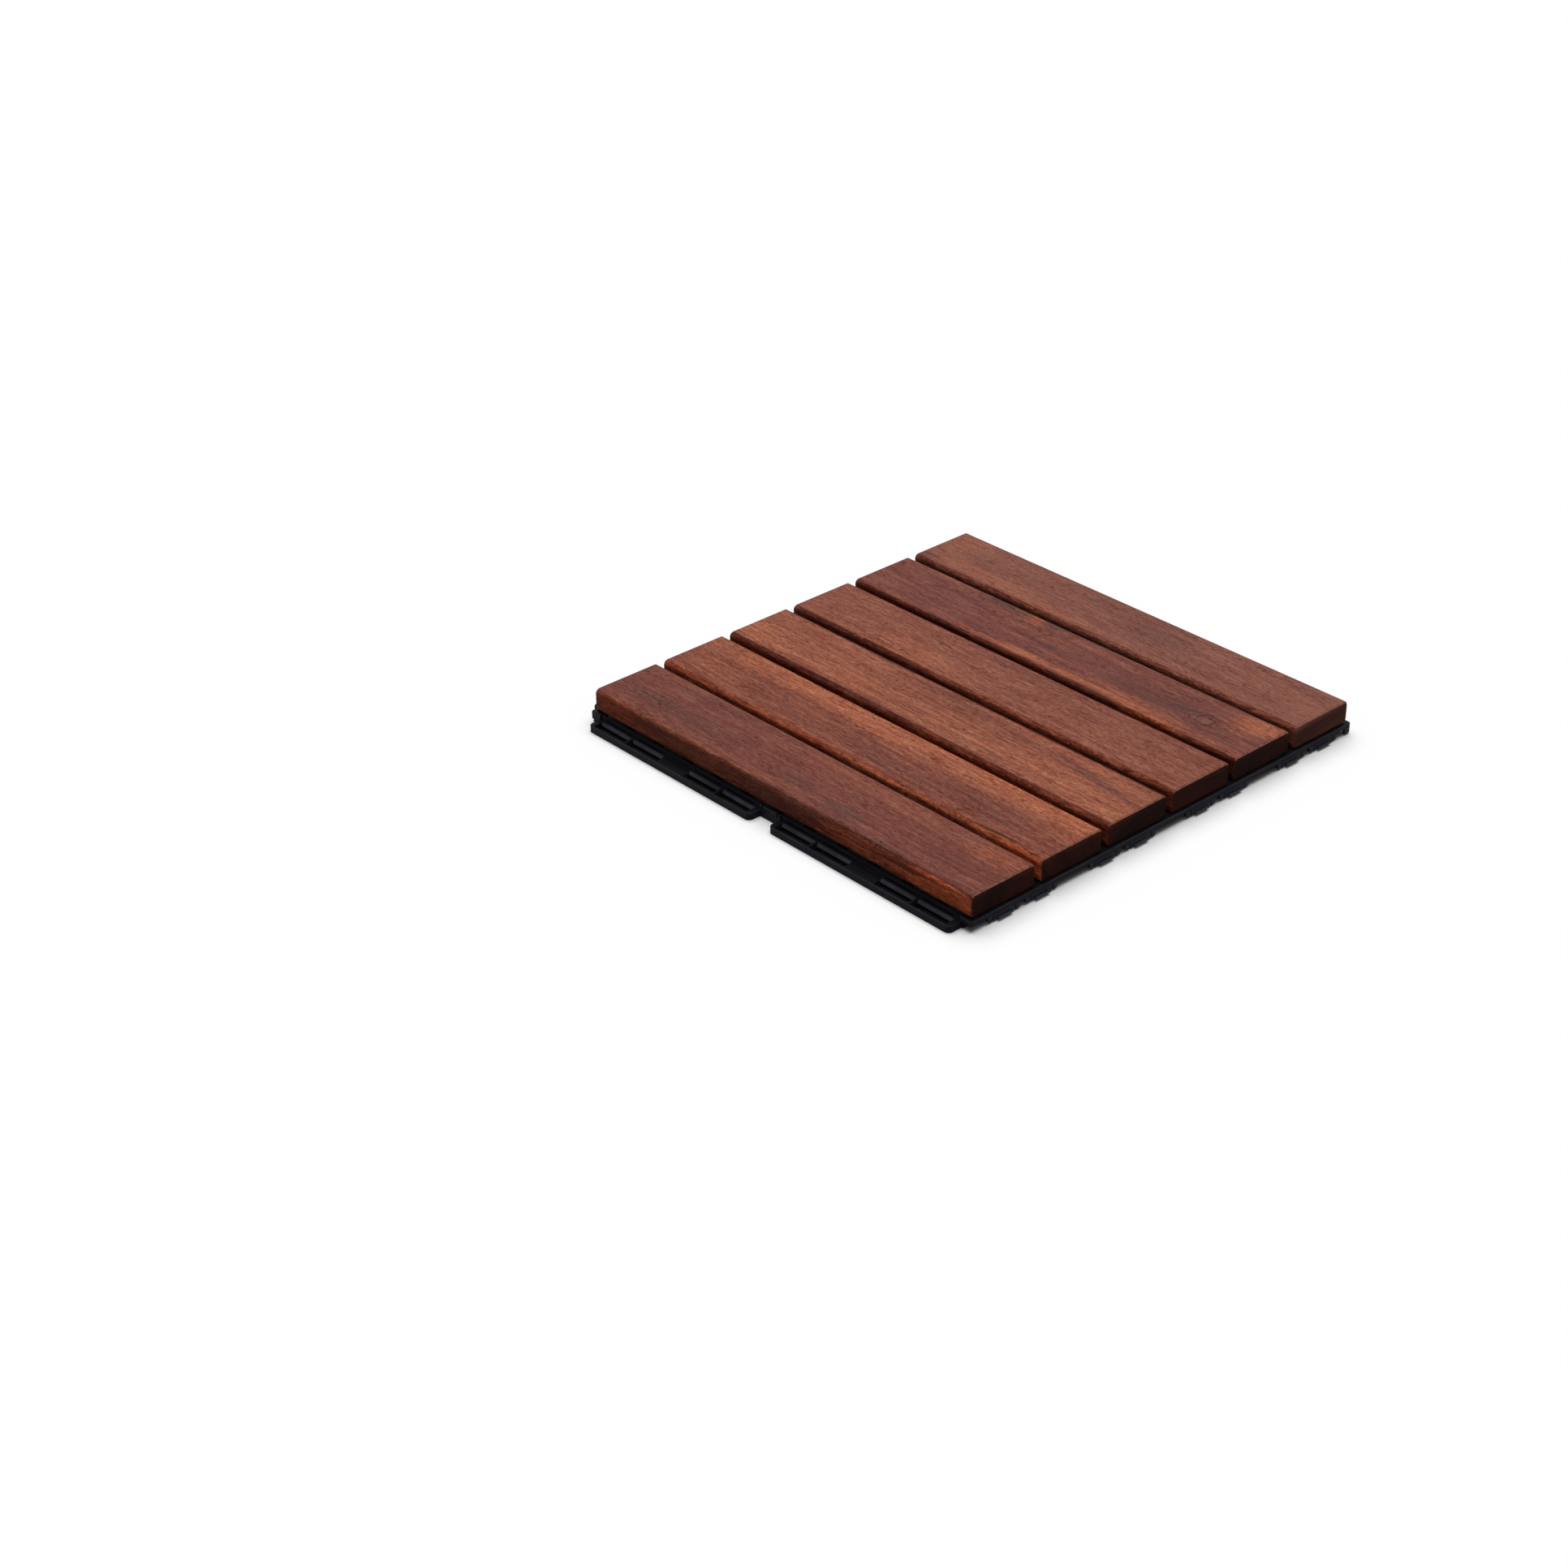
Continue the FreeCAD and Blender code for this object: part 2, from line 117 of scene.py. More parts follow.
class NodeSheet:
    """Places shader nodes in one tree and wires them."""

    MIX_FACTOR, MIX_FIRST, MIX_SECOND, MIX_RESULT = 0, 6, 7, 2
    NOISE_LOW, NOISE_HIGH = 0.3, 0.7

    def __init__(self, tree: bpy.types.NodeTree) -> None:
        """Start from an empty tree."""
        self.tree = tree
        self.tree.nodes.clear()

    def add(self, kind: str, **settings: object) -> bpy.types.Node:
        """Place one node.

        Args:
            kind: The node's type, such as ShaderNodeMath.
            **settings: Options of the node, by name.

        Returns:
            The new node.
        """
        node = self.tree.nodes.new(kind)
        for name, value in settings.items():
            setattr(node, name, value)
        return node

    def feed(self, socket: Socket, value: Feed) -> None:
        """Wire an output to a socket, or set the socket's own value.

        Args:
            socket: The input to feed.
            value: Another node's output, or a plain value.
        """
        if isinstance(value, Socket):
            self.tree.links.new(value, socket)
        else:
            socket.default_value = value

    def wire(self, node: bpy.types.Node, *values: Feed) -> Outputs:
        """Feed a node's inputs in their own order.

        Args:
            node: The node to feed.
            *values: Outputs or plain numbers.

        Returns:
            The node's outputs.
        """
        for socket, value in zip(node.inputs, values):
            self.feed(socket, value)
        return node.outputs

    def fill(self, node: bpy.types.Node, given: dict[str, Feed]) -> Outputs:
        """Feed a node's inputs by name.

        Args:
            node: The node to feed.
            given: Outputs or plain values by input, with underscores for spaces.

        Returns:
            The node's outputs.
        """
        for name, value in given.items():
            self.feed(node.inputs[name.replace("_", " ")], value)
        return node.outputs

    def maths(self, operation: str, *values: Feed) -> Socket:
        """Work out one value from up to three others, such as by MULTIPLY."""
        return self.wire(self.add("ShaderNodeMath", operation=operation), *values)[0]

    def vector_maths(self, operation: str, first: Feed, second: Feed) -> Socket:
        """Work out a vector from two others, such as by ADD or MULTIPLY."""
        return self.wire(self.add("ShaderNodeVectorMath", operation=operation), first, second)[0]

    def vector(self, x: Feed, y: Feed, z: Feed) -> Socket:
        """Join three values into a vector."""
        return self.wire(self.add("ShaderNodeCombineXYZ"), x, y, z)[0]

    def split(self, vector: Socket) -> tuple[Socket, ...]:
        """Take a vector apart into its three values."""
        return tuple(self.wire(self.add("ShaderNodeSeparateXYZ"), vector))

    def fold(self, operation: str, values: tuple[Feed, ...]) -> Socket:
        """Join values one after another.

        Args:
            operation: How two of them join, such as ADD.
            values: Outputs or plain numbers.

        Returns:
            The result's output.
        """
        result = values[0]
        for value in values[1:]:
            result = self.maths(operation, result, value)
        return result

    def total(self, *values: Feed) -> Socket:
        """Add values up."""
        return self.fold("ADD", values)

    def product(self, *values: Feed) -> Socket:
        """Multiply values."""
        return self.fold("MULTIPLY", values)

    def largest(self, *values: Feed) -> Socket:
        """Keep the largest of some values."""
        return self.fold("MAXIMUM", values)

    def smallest(self, *values: Feed) -> Socket:
        """Keep the smallest of some values."""
        return self.fold("MINIMUM", values)

    def squares(self, *values: Feed) -> Socket:
        """Add up the squares of values."""
        return self.total(*(self.product(value, value) for value in values))

    def noise(self, place: Socket, kind: Noise) -> Socket:
        """Make cloudy values from 0 to 1.

        Args:
            place: Where on the piece the value is wanted, in metres.
            kind: How fine and how rough the noise is.

        Returns:
            The values' output.
        """
        waves = (kind.along, kind.across, kind.down)
        given = {
            "Vector": self.vector_maths("MULTIPLY", place, waves),
            "Scale": 1.0,
            "Detail": kind.detail,
            "Roughness": kind.roughness,
        }
        return self.fill(self.add("ShaderNodeTexNoise"), given)[0]

    def drift(self, place: Socket, kind: Noise) -> Socket:
        """Make cloudy values from -0.5 to 0.5."""
        return self.maths("SUBTRACT", self.noise(place, kind), 0.5)

    def remap(
        self,
        value: Feed,
        low: Feed,
        high: Feed,
        to_low: float = 0.0,
        to_high: float = 1.0,
    ) -> Socket:
        """Move a value smoothly from one range to another, and keep it inside that.

        Args:
            value: The value to move.
            low: The value that becomes to_low.
            high: The value that becomes to_high.
            to_low: The new range's start.
            to_high: The new range's end.

        Returns:
            The moved value's output.
        """
        node = self.add("ShaderNodeMapRange", interpolation_type="SMOOTHSTEP")
        return self.wire(node, value, low, high, to_low, to_high)[0]

    def vary(self, cloud: Socket, to_low: float, to_high: float) -> Socket:
        """Spread cloudy values out, so that most of them fill the range that is given."""
        return self.remap(cloud, self.NOISE_LOW, self.NOISE_HIGH, to_low, to_high)

    def blend(self, factor: Feed, first: Feed, second: Feed, mode: str = "MIX") -> Socket:
        """Lay one colour over another.

        Args:
            factor: How much of the second colour shows.
            first: The colour underneath.
            second: The colour on top.
            mode: How they join, such as MIX or MULTIPLY.

        Returns:
            The joined colour's output.
        """
        node = self.add("ShaderNodeMix", data_type="RGBA", blend_type=mode)
        self.feed(node.inputs[self.MIX_FACTOR], factor)
        self.feed(node.inputs[self.MIX_FIRST], first)
        self.feed(node.inputs[self.MIX_SECOND], second)
        return node.outputs[self.MIX_RESULT]

    def tint(self, colour: Feed, shade: Feed, warmth: float = 1.0) -> Socket:
        """Lighten or darken a colour.

        Args:
            colour: The colour to change.
            shade: How bright it becomes, where 1 keeps it.
            warmth: How much faster green and blue change than red does.

        Returns:
            The changed colour's output.
        """
        cool = self.maths("POWER", shade, warmth)
        return self.vector_maths("MULTIPLY", colour, self.vector(shade, cool, cool))

    def bump(self, height: Feed, distance: float) -> Socket:
        """Turn heights from 0 to 1 into a normal, for a relief of that many metres."""
        given = {"Height": height, "Distance": distance}
        return self.fill(self.add("ShaderNodeBump"), given)["Normal"]

    def effect(self, effect: Effect, **given: Feed) -> Outputs:
        """Place a shared effect.

        Args:
            effect: The effect whose group is placed.
            **given: Its inputs, by name, with underscores for spaces.

        Returns:
            The outputs of the placed group.
        """
        return self.fill(self.add("ShaderNodeGroup", node_tree=effect.group()), given)

    def surface(self, **given: Feed) -> None:
        """Place the surface's shader and send it to the material's output.

        Args:
            **given: The shader's inputs, by name, with underscores for spaces.
        """
        shader = self.fill(self.add("ShaderNodeBsdfPrincipled"), given)
        self.finish(shader["BSDF"])

    def finish(self, shader: Socket, kind: str = "ShaderNodeOutputMaterial") -> None:
        """Send a shader to an output of the named type."""
        self.feed(self.add(kind).inputs["Surface"], shader)


class Effect:
    """A shader node group that several materials share. It is built on its first use."""

    name: ClassVar[str]
    takes: ClassVar[dict[str, SocketKind]]
    gives: ClassVar[dict[str, SocketKind]]

    def group(self) -> bpy.types.NodeTree:
        """Find the effect's node group, or build it.

        Returns:
            The group's tree.
        """
        known = bpy.data.node_groups.get(self.name)
        if known is not None:
            return known
        tree = bpy.data.node_groups.new(self.name, "ShaderNodeTree")
        for name, kind in self.takes.items():
            tree.interface.new_socket(name, in_out="INPUT", socket_type=kind.value)
        for name, kind in self.gives.items():
            tree.interface.new_socket(name, in_out="OUTPUT", socket_type=kind.value)
        sheet = NodeSheet(tree)
        given = sheet.add("NodeGroupInput").outputs
        result = sheet.add("NodeGroupOutput").inputs
        for name, value in self.draw(sheet, given).items():
            sheet.feed(result[name], value)
        return tree

    def draw(self, sheet: NodeSheet, given: Outputs) -> dict[str, Feed]:
        """Wire the group.

        Args:
            sheet: The group's own tree.
            given: The group's inputs.

        Returns:
            What each output of the group gives, by name.
        """
        raise NotImplementedError


class WoodFigure(Effect):
    """Growth rings, fibres and pores of a plank that is cut from a solid trunk."""

    name = "wood figure"
    takes = {
        "Place": SocketKind.VECTOR,
        "Pith Across": SocketKind.VALUE,
        "Pith Below": SocketKind.VALUE,
        "Lean": SocketKind.VALUE,
        "Seed": SocketKind.VALUE,
        "Knot Centre": SocketKind.VECTOR,
        "Knot Reach": SocketKind.VALUE,
    }
    gives = {
        "Zone": SocketKind.VALUE,
        "Streak": SocketKind.VALUE,
        "Ribbon": SocketKind.VALUE,
        "Fibre": SocketKind.VALUE,
        "Pores": SocketKind.VALUE,
        "Stipple": SocketKind.VALUE,
    }

    knot_stretch: ClassVar[float] = 1.7
    wander: ClassVar[Noise] = Noise(3.5, 14.0, 14.0, detail=1.0)
    wander_reach: ClassVar[float] = 22.0 * MM
    ripple: ClassVar[Noise] = Noise(22.0, 90.0, 90.0)
    ripple_reach: ClassVar[float] = 1.6 * MM
    shift_down: ClassVar[float] = 0.5
    zone: ClassVar[Noise] = Noise(55.0, 1.6, 9.0, detail=1.0)
    streak: ClassVar[Noise] = Noise(330.0, 6.0, 7.0, detail=4.0, roughness=0.62)
    ribbon: ClassVar[Noise] = Noise(40.0, 430.0, 430.0, detail=3.0, roughness=0.6)
    fibre: ClassVar[Noise] = Noise(250.0, 1250.0, 1250.0, roughness=0.6)
    pore: ClassVar[Noise] = Noise(260.0, 1500.0, 1500.0, detail=1.0)
    pore_edge: ClassVar[float] = 0.1
    pores_few: ClassVar[float] = 0.72
    pores_many: ClassVar[float] = 0.57
    crowd: ClassVar[Noise] = Noise(30.0, 140.0, 140.0, detail=1.0)
    stipple: ClassVar[Noise] = Noise(800.0, 1300.0, 1300.0, roughness=0.7)

    def draw(self, sheet: NodeSheet, given: Outputs) -> dict[str, Feed]:
        """Wire the group. See Effect.draw."""
        x, y, z = sheet.split(given["Place"])
        from_knot = sheet.vector_maths("SUBTRACT", given["Place"], given["Knot Centre"])
        knot_x, knot_y, _ = sheet.split(from_knot)
        reach = given["Knot Reach"]
        along = sheet.maths("DIVIDE", knot_x, sheet.product(reach, self.knot_stretch))
        across = sheet.maths("DIVIDE", knot_y, reach)
        calm = sheet.maths("EXPONENT", sheet.product(sheet.squares(along, across), -1.0))
        y = sheet.maths("SUBTRACT", y, sheet.product(knot_y, calm))

        seeded_x = sheet.total(x, given["Seed"])
        seeded = sheet.vector(seeded_x, y, z)
        wander = sheet.product(sheet.drift(seeded, self.wander), self.wander_reach)
        ripple = sheet.product(sheet.drift(seeded, self.ripple), self.ripple_reach)
        shift = sheet.total(wander, ripple)
        ring_y = sheet.total(y, shift, sheet.product(given["Pith Across"], -1.0))
        ring_y = sheet.maths("SUBTRACT", ring_y, sheet.product(given["Lean"], x))
        ring_z = sheet.total(z, sheet.product(shift, self.shift_down), given["Pith Below"])
        radius = sheet.maths("SQRT", sheet.squares(ring_y, ring_z))
        ring_place = sheet.vector(radius, seeded_x, given["Seed"])

        bent = sheet.vector(seeded_x, sheet.total(y, shift), z)
        limit = sheet.vary(sheet.noise(bent, self.crowd), self.pores_few, self.pores_many)
        pore = sheet.noise(bent, self.pore)
        return {
            "Zone": sheet.noise(ring_place, self.zone),
            "Streak": sheet.noise(ring_place, self.streak),
            "Ribbon": sheet.noise(bent, self.ribbon),
            "Fibre": sheet.noise(bent, self.fibre),
            "Pores": sheet.remap(pore, limit, sheet.total(limit, self.pore_edge)),
            "Stipple": sheet.noise(bent, self.stipple),
        }


class OvalPatch(Effect):
    """A patch with a ragged edge that is drawn out along the grain."""

    name = "oval patch"
    takes = {
        "Place": SocketKind.VECTOR,
        "Centre": SocketKind.VECTOR,
        "Half Length": SocketKind.VALUE,
        "Half Width": SocketKind.VALUE,
        "Tilt": SocketKind.VALUE,
        "Softness": SocketKind.VALUE,
        "Raggedness": SocketKind.VALUE,
    }
    gives = {"Mask": SocketKind.VALUE, "Distance": SocketKind.VALUE}

    broad: ClassVar[Noise] = Noise(16.0, 90.0, 90.0)
    fine: ClassVar[Noise] = Noise(30.0, 620.0, 620.0)
    ragged_reach: ClassVar[float] = 2.2

    def draw(self, sheet: NodeSheet, given: Outputs) -> dict[str, Feed]:
        """Wire the group. See Effect.draw."""
        x, y, _ = sheet.split(sheet.vector_maths("SUBTRACT", given["Place"], given["Centre"]))
        cosine = sheet.maths("COSINE", given["Tilt"])
        sine = sheet.maths("SINE", given["Tilt"])
        along = sheet.total(sheet.product(x, cosine), sheet.product(y, sine))
        across = sheet.maths("SUBTRACT", sheet.product(y, cosine), sheet.product(x, sine))
        along = sheet.maths("DIVIDE", along, given["Half Length"])
        across = sheet.maths("DIVIDE", across, given["Half Width"])
        distance = sheet.maths("SQRT", sheet.squares(along, across))
        clouds = sheet.total(
            sheet.drift(given["Place"], self.broad), sheet.drift(given["Place"], self.fine)
        )
        ragged = sheet.product(clouds, given["Raggedness"], self.ragged_reach)
        edge = sheet.total(distance, ragged)
        inner = sheet.maths("SUBTRACT", 1.0, given["Softness"])
        outer = sheet.total(1.0, given["Softness"])
        mask = sheet.maths("SUBTRACT", 1.0, sheet.remap(edge, inner, outer))
        return {"Mask": mask, "Distance": distance}


class FigureKind(Enum):
    """What a patch of the figure shows, by its tone. The later ones lie over the earlier ones."""

    PALE = tone(166, 97, 69)
    GOLD = tone(166, 95, 64)
    DUSKY = tone(95, 54, 48)
    CLOUD = tone(88, 56, 50)
    AMBER = tone(214, 110, 73)
    INK = tone(26, 12, 9)


PALE, GOLD, DUSKY, CLOUD, AMBER, INK = FigureKind


@dataclass(frozen=True)
class Mark:
    """A patch, streak, crack or pinhole at one place on a slat.

    Lengths are in millimetres from the middle of the slat, x along it and y across it.
    """

    kind: FigureKind
    x: float
    y: float
    half_length: float
    half_width: float
    tilt: float = 0.0
    strength: float = 1.0
    softness: float = 0.7
    raggedness: float = 1.0


@dataclass(frozen=True)
class Knot:
    """A round knot at one place on a slat, in millimetres from its middle."""

    x: float
    y: float
    radius: float


def blank_material(name: str) -> tuple[bpy.types.Material, NodeSheet]:
    """Make an empty material.

    Args:
        name: The material's name.

    Returns:
        The material, and the sheet that its nodes are placed on.
    """
    material = bpy.data.materials.new(name)
    material.use_nodes = True
    return material, NodeSheet(material.node_tree)


@dataclass(frozen=True)
class WoodFinish:
    """Tones and figure of one oiled slat.

    The pith's place is in millimetres from the middle of the slat. The tones of the arris and the
    side are shares of the face's own colour: partly the edges' own colour and partly painted
    shade, set by how far the surface turns to the side. They start and are full where the surface
    has turned to the side as far as the start and full values say, from 0 to 1.
    """

    light: Colour
    dark: Colour
    pith_across: float
    pith_below: float
    lean: float = 0.0
    contrast: float = 1.0
    # The arris and side shares are partly the edges' own colour and partly painted shade.
    arris: Colour = (0.5, 0.38, 0.31, 1.0)
    side: Colour = (0.55, 0.42, 0.34, 1.0)
    edge_start: float = 0.08
    edge_full: float = 0.3
    side_start: float = 0.76
    side_full: float = 0.9
    edge_contrast: float = 1.0
    grain: float = 1.0
    end_light: Colour = tone(54, 25, 18)
    end_dark: Colour = tone(23, 8, 5)
    marks: tuple[Mark, ...] = ()
    knot: Knot | None = None

    zone_share: ClassVar[float] = 0.9
    streak_share: ClassVar[float] = 1.1
    swing_reach: ClassVar[float] = 0.42
    shades: ClassVar[dict[str, float]] = {"Ribbon": 0.2, "Fibre": 0.24, "Stipple": 0.16}
    warmth: ClassVar[float] = 1.7
    pore: ClassVar[Colour] = tone(56, 24, 17)
    pore_share: ClassVar[float] = 0.62
    heights: ClassVar[dict[str, float]] = {"Fibre": 0.5, "Pores": -1.0, "Stipple": 0.4}
    relief: ClassVar[float] = 0.12 * MM
    roughness: ClassVar[float] = 0.55
    pore_dryness: ClassVar[float] = 0.2
    sawn_dryness: ClassVar[float] = 0.25
    edge_dryness: ClassVar[float] = 0.1
    gloss: ClassVar[float] = 0.06

    no_knot: ClassVar[Knot] = Knot(1000.0, 1000.0, 1.0)
    knot_swirl: ClassVar[float] = 1.5
    knot_share: ClassVar[float] = 0.35
    knot_softness: ClassVar[float] = 0.12
    knot_raggedness: ClassVar[float] = 0.15
    knot_ring: ClassVar[float] = 0.97
    knot_ring_edge: ClassVar[Ramp] = Ramp(0.03, 0.12, 1.0, 0.0)
    knot_gaps: ClassVar[Noise] = Noise(210.0, 210.0, 210.0, detail=1.0)
    knot_gap_depth: ClassVar[Ramp] = Ramp(0.4, 0.6, 0.05, 0.8)

    sawn_turn: ClassVar[Ramp] = Ramp(0.58, 0.92)
    end_zone_share: ClassVar[float] = 0.7
    end_streak_share: ClassVar[float] = 0.5
    end_rings: ClassVar[Ramp] = Ramp(0.48, 0.76)
    end_speck: ClassVar[Noise] = Noise(900.0, 1700.0, 1700.0, roughness=0.7)
    end_swell: ClassVar[float] = 0.32
    # How much paler the ends grow towards their top.
    paler_top: ClassVar[Ramp] = Ramp(2.5 * MM, 4.8 * MM, 1.0, 2.0)
    rim_turn: ClassVar[Ramp] = Ramp(0.3, 0.6)
    worn: ClassVar[Colour] = tone(168, 118, 100)
    chips: ClassVar[Noise] = Noise(150.0, 150.0, 150.0, detail=4.0, roughness=0.7)
    chip_depth: ClassVar[Ramp] = Ramp(0.38, 0.6, 0.05, 0.6)

    edge_ragged: ClassVar[Noise] = Noise(70.0, 350.0, 350.0, detail=3.0, roughness=0.7)
    edge_ragged_turn: ClassVar[Ramp] = Ramp(0.0, 0.2)
    edge_ragged_reach: ClassVar[float] = 0.4
    edge_warmth: ClassVar[float] = 1.2
    # Painted shade along the arris, by how far it has turned to the side.
    arris_shade: ClassVar[Ramp] = Ramp(0.3, 0.75, 0.76, 1.14)
    fleck: ClassVar[Noise] = Noise(140.0, 1000.0, 1000.0, detail=3.0, roughness=0.7)
    fleck_span: ClassVar[Ramp] = Ramp(0.33, 0.67)
    fleck_swell: ClassVar[float] = 0.5
    broad: ClassVar[Noise] = Noise(24.0, 60.0, 60.0)
    broad_span: ClassVar[Ramp] = Ramp(0.35, 0.65)
    broad_swell: ClassVar[float] = 0.2
    tear: ClassVar[Noise] = Noise(520.0, 330.0, 260.0, roughness=0.6)
    tear_slant: ClassVar[float] = 0.6
    tear_edge: ClassVar[float] = 0.08
    tear_share: ClassVar[float] = 0.45
    tear_patch: ClassVar[Noise] = Noise(30.0, 70.0, 70.0)
    tear_limit: ClassVar[Ramp] = Ramp(0.4, 0.68, 0.72, 0.52)

    def material(self, name: str, middle: Vector, seed: float) -> bpy.types.Material:
        """Build the slat's material.

        Args:
            name: The material's name.
            middle: The middle of the slat, from which its figure is placed.
            seed: A number that makes this slat's noise its own.

        Returns:
            The finished material.
        """
        material, sheet = blank_material(name)
        surface = sheet.add("ShaderNodeTexCoord").outputs
        place = sheet.vector_maths("SUBTRACT", surface["Object"], tuple(middle))
        knot = self.knot or self.no_knot
        figure = sheet.effect(
            WoodFigure(),
            Place=place,
            Pith_Across=self.pith_across * MM,
            Pith_Below=self.pith_below * MM,
            Lean=self.lean,
            Seed=seed,
            Knot_Centre=(knot.x * MM, knot.y * MM, 0.0),
            Knot_Reach=knot.radius * self.knot_swirl * MM,
        )
        colour = self._face_grain(sheet, place, figure, seed)
        facing_x, facing_y, facing_z = sheet.split(surface["Normal"])
        end_facing = sheet.maths("ABSOLUTE", facing_x)
        side_facing = sheet.maths("ABSOLUTE", facing_y)
        ragged = sheet.product(
            sheet.drift(place, self.edge_ragged),
            sheet.remap(side_facing, *self.edge_ragged_turn),
            self.edge_ragged_reach,
        )
        side_facing = sheet.total(side_facing, ragged)
        upright = sheet.remap(side_facing, self.edge_start, self.edge_full)
        colour = self._edge_shade_and_tears(sheet, colour, side_facing, upright, place)
        sawn = sheet.remap(end_facing, *self.sawn_turn)
        colour = sheet.blend(sawn, colour, self._end_grain(sheet, place, figure))
        rim = sheet.product(
            sheet.remap(end_facing, *self.rim_turn), sheet.remap(facing_z, *self.rim_turn)
        )
        colour = self._chipped_rim(sheet, colour, rim, place)
        dryness = sheet.total(
            self.roughness,
            sheet.product(figure["Pores"], self.pore_dryness),
            sheet.product(sawn, self.sawn_dryness),
            sheet.product(upright, self.edge_dryness),
        )
        heights = (sheet.product(figure[layer], part) for layer, part in self.heights.items())
        sheet.surface(
            Base_Color=colour,
            Roughness=dryness,
            Specular_IOR_Level=self.gloss,
            Normal=sheet.bump(sheet.total(*heights), self.relief),
        )
        return material

    def _face_grain(self, sheet: NodeSheet, place: Socket, figure: Outputs, seed: float) -> Socket:
        """Colour the planed faces: rings, streaks, marks, fibres and pores.

        Args:
            sheet: The material's own tree.
            place: The place on the slat.
            figure: What the wood figure gives.
            seed: A number that makes this slat's noise its own.

        Returns:
            The colour of the faces.
        """
        swing = sheet.total(
            sheet.product(figure["Zone"], self.zone_share),
            sheet.product(figure["Streak"], self.streak_share),
        )
        reach = self.swing_reach / self.contrast
        colour = sheet.blend(sheet.remap(swing, 1.0 - reach, 1.0 + reach), self.dark, self.light)
        seeded = sheet.vector_maths("ADD", place, (seed, 0.0, 0.0))
        for kind in FigureKind:
            marks = [mark for mark in self.marks if mark.kind is kind]
            masks = [self._patch(sheet, seeded, mark, seed) for mark in marks]
            if masks:
                colour = sheet.blend(sheet.largest(*masks), colour, kind.value)
        if self.knot:
            colour = self._knot_grain(sheet, seeded, colour, seed)
        for layer, share in self.shades.items():
            swell = share * self.grain
            shade = sheet.vary(figure[layer], 1.0 - swell, 1.0 + swell)
            colour = sheet.tint(colour, shade, self.warmth)
        return sheet.blend(sheet.product(figure["Pores"], self.pore_share), colour, self.pore)

    def _patch(self, sheet: NodeSheet, place: Socket, mark: Mark, seed: float) -> Socket:
        """Find how strongly a mark shows.

        Args:
            sheet: The material's own tree.
            place: The place on the slat, moved along it by the seed.
            mark: The mark.
            seed: A number that makes this slat's noise its own.

        Returns:
            The mark's mask, from 0 to its strength.
        """
        patch = sheet.effect(
            OvalPatch(),
            Place=place,
            Centre=(mark.x * MM + seed, mark.y * MM, 0.0),
            Half_Length=mark.half_length * MM,
            Half_Width=mark.half_width * MM,
            Tilt=math.radians(mark.tilt),
            Softness=mark.softness,
            Raggedness=mark.raggedness,
        )
        return sheet.product(patch["Mask"], mark.strength)

    def _knot_grain(self, sheet: NodeSheet, place: Socket, colour: Socket, seed: float) -> Socket:
        """Draw the knot: a thin dark rim round wood that is a little duskier.

        Args:
            sheet: The material's own tree.
            place: The place on the slat, moved along it by the seed.
            colour: The colour round the knot.
            seed: A number that makes this slat's noise its own.

        Returns:
            The colour with the knot in it.
        """
        patch = sheet.effect(
            OvalPatch(),
            Place=place,
            Centre=(self.knot.x * MM + seed, self.knot.y * MM, 0.0),
            Half_Length=self.knot.radius * MM,
            Half_Width=self.knot.radius * MM,
            Softness=self.knot_softness,
            Raggedness=self.knot_raggedness,
        )
        within = sheet.product(patch["Mask"], self.knot_share)
        colour = sheet.blend(within, colour, DUSKY.value)
        from_ring = sheet.maths("SUBTRACT", patch["Distance"], self.knot_ring)
        ring = sheet.remap(sheet.maths("ABSOLUTE", from_ring), *self.knot_ring_edge)
        broken = sheet.remap(sheet.noise(place, self.knot_gaps), *self.knot_gap_depth)
        return sheet.blend(sheet.product(ring, broken), colour, INK.value)

    def _end_grain(self, sheet: NodeSheet, place: Socket, figure: Outputs) -> Socket:
        """Colour the sawn ends: dark, with faint rings, and paler near their upper edge.

        Args:
            sheet: The material's own tree.
            place: The place on the slat.
            figure: What the wood figure gives.

        Returns:
            The colour of the ends.
        """
        rings = sheet.total(
            sheet.product(figure["Zone"], self.end_zone_share),
            sheet.product(figure["Streak"], self.end_streak_share),
        )
        colour = sheet.blend(sheet.remap(rings, *self.end_rings), self.end_dark, self.end_light)
        speck = sheet.noise(place, self.end_speck)
        shade = sheet.vary(speck, 1.0 - self.end_swell, 1.0 + self.end_swell)
        # Paler towards the top of each end.
        height = sheet.split(place)[2]
        return sheet.tint(sheet.tint(colour, shade), sheet.remap(height, *self.paler_top))

    def _chipped_rim(self, sheet: NodeSheet, colour: Socket, rim: Socket, place: Socket) -> Socket:
        """Rub the upper rim of the ends pale, here more and there less."""
        rubbed = sheet.remap(sheet.noise(place, self.chips), *self.chip_depth)
        return sheet.blend(sheet.product(rim, rubbed), colour, self.worn)

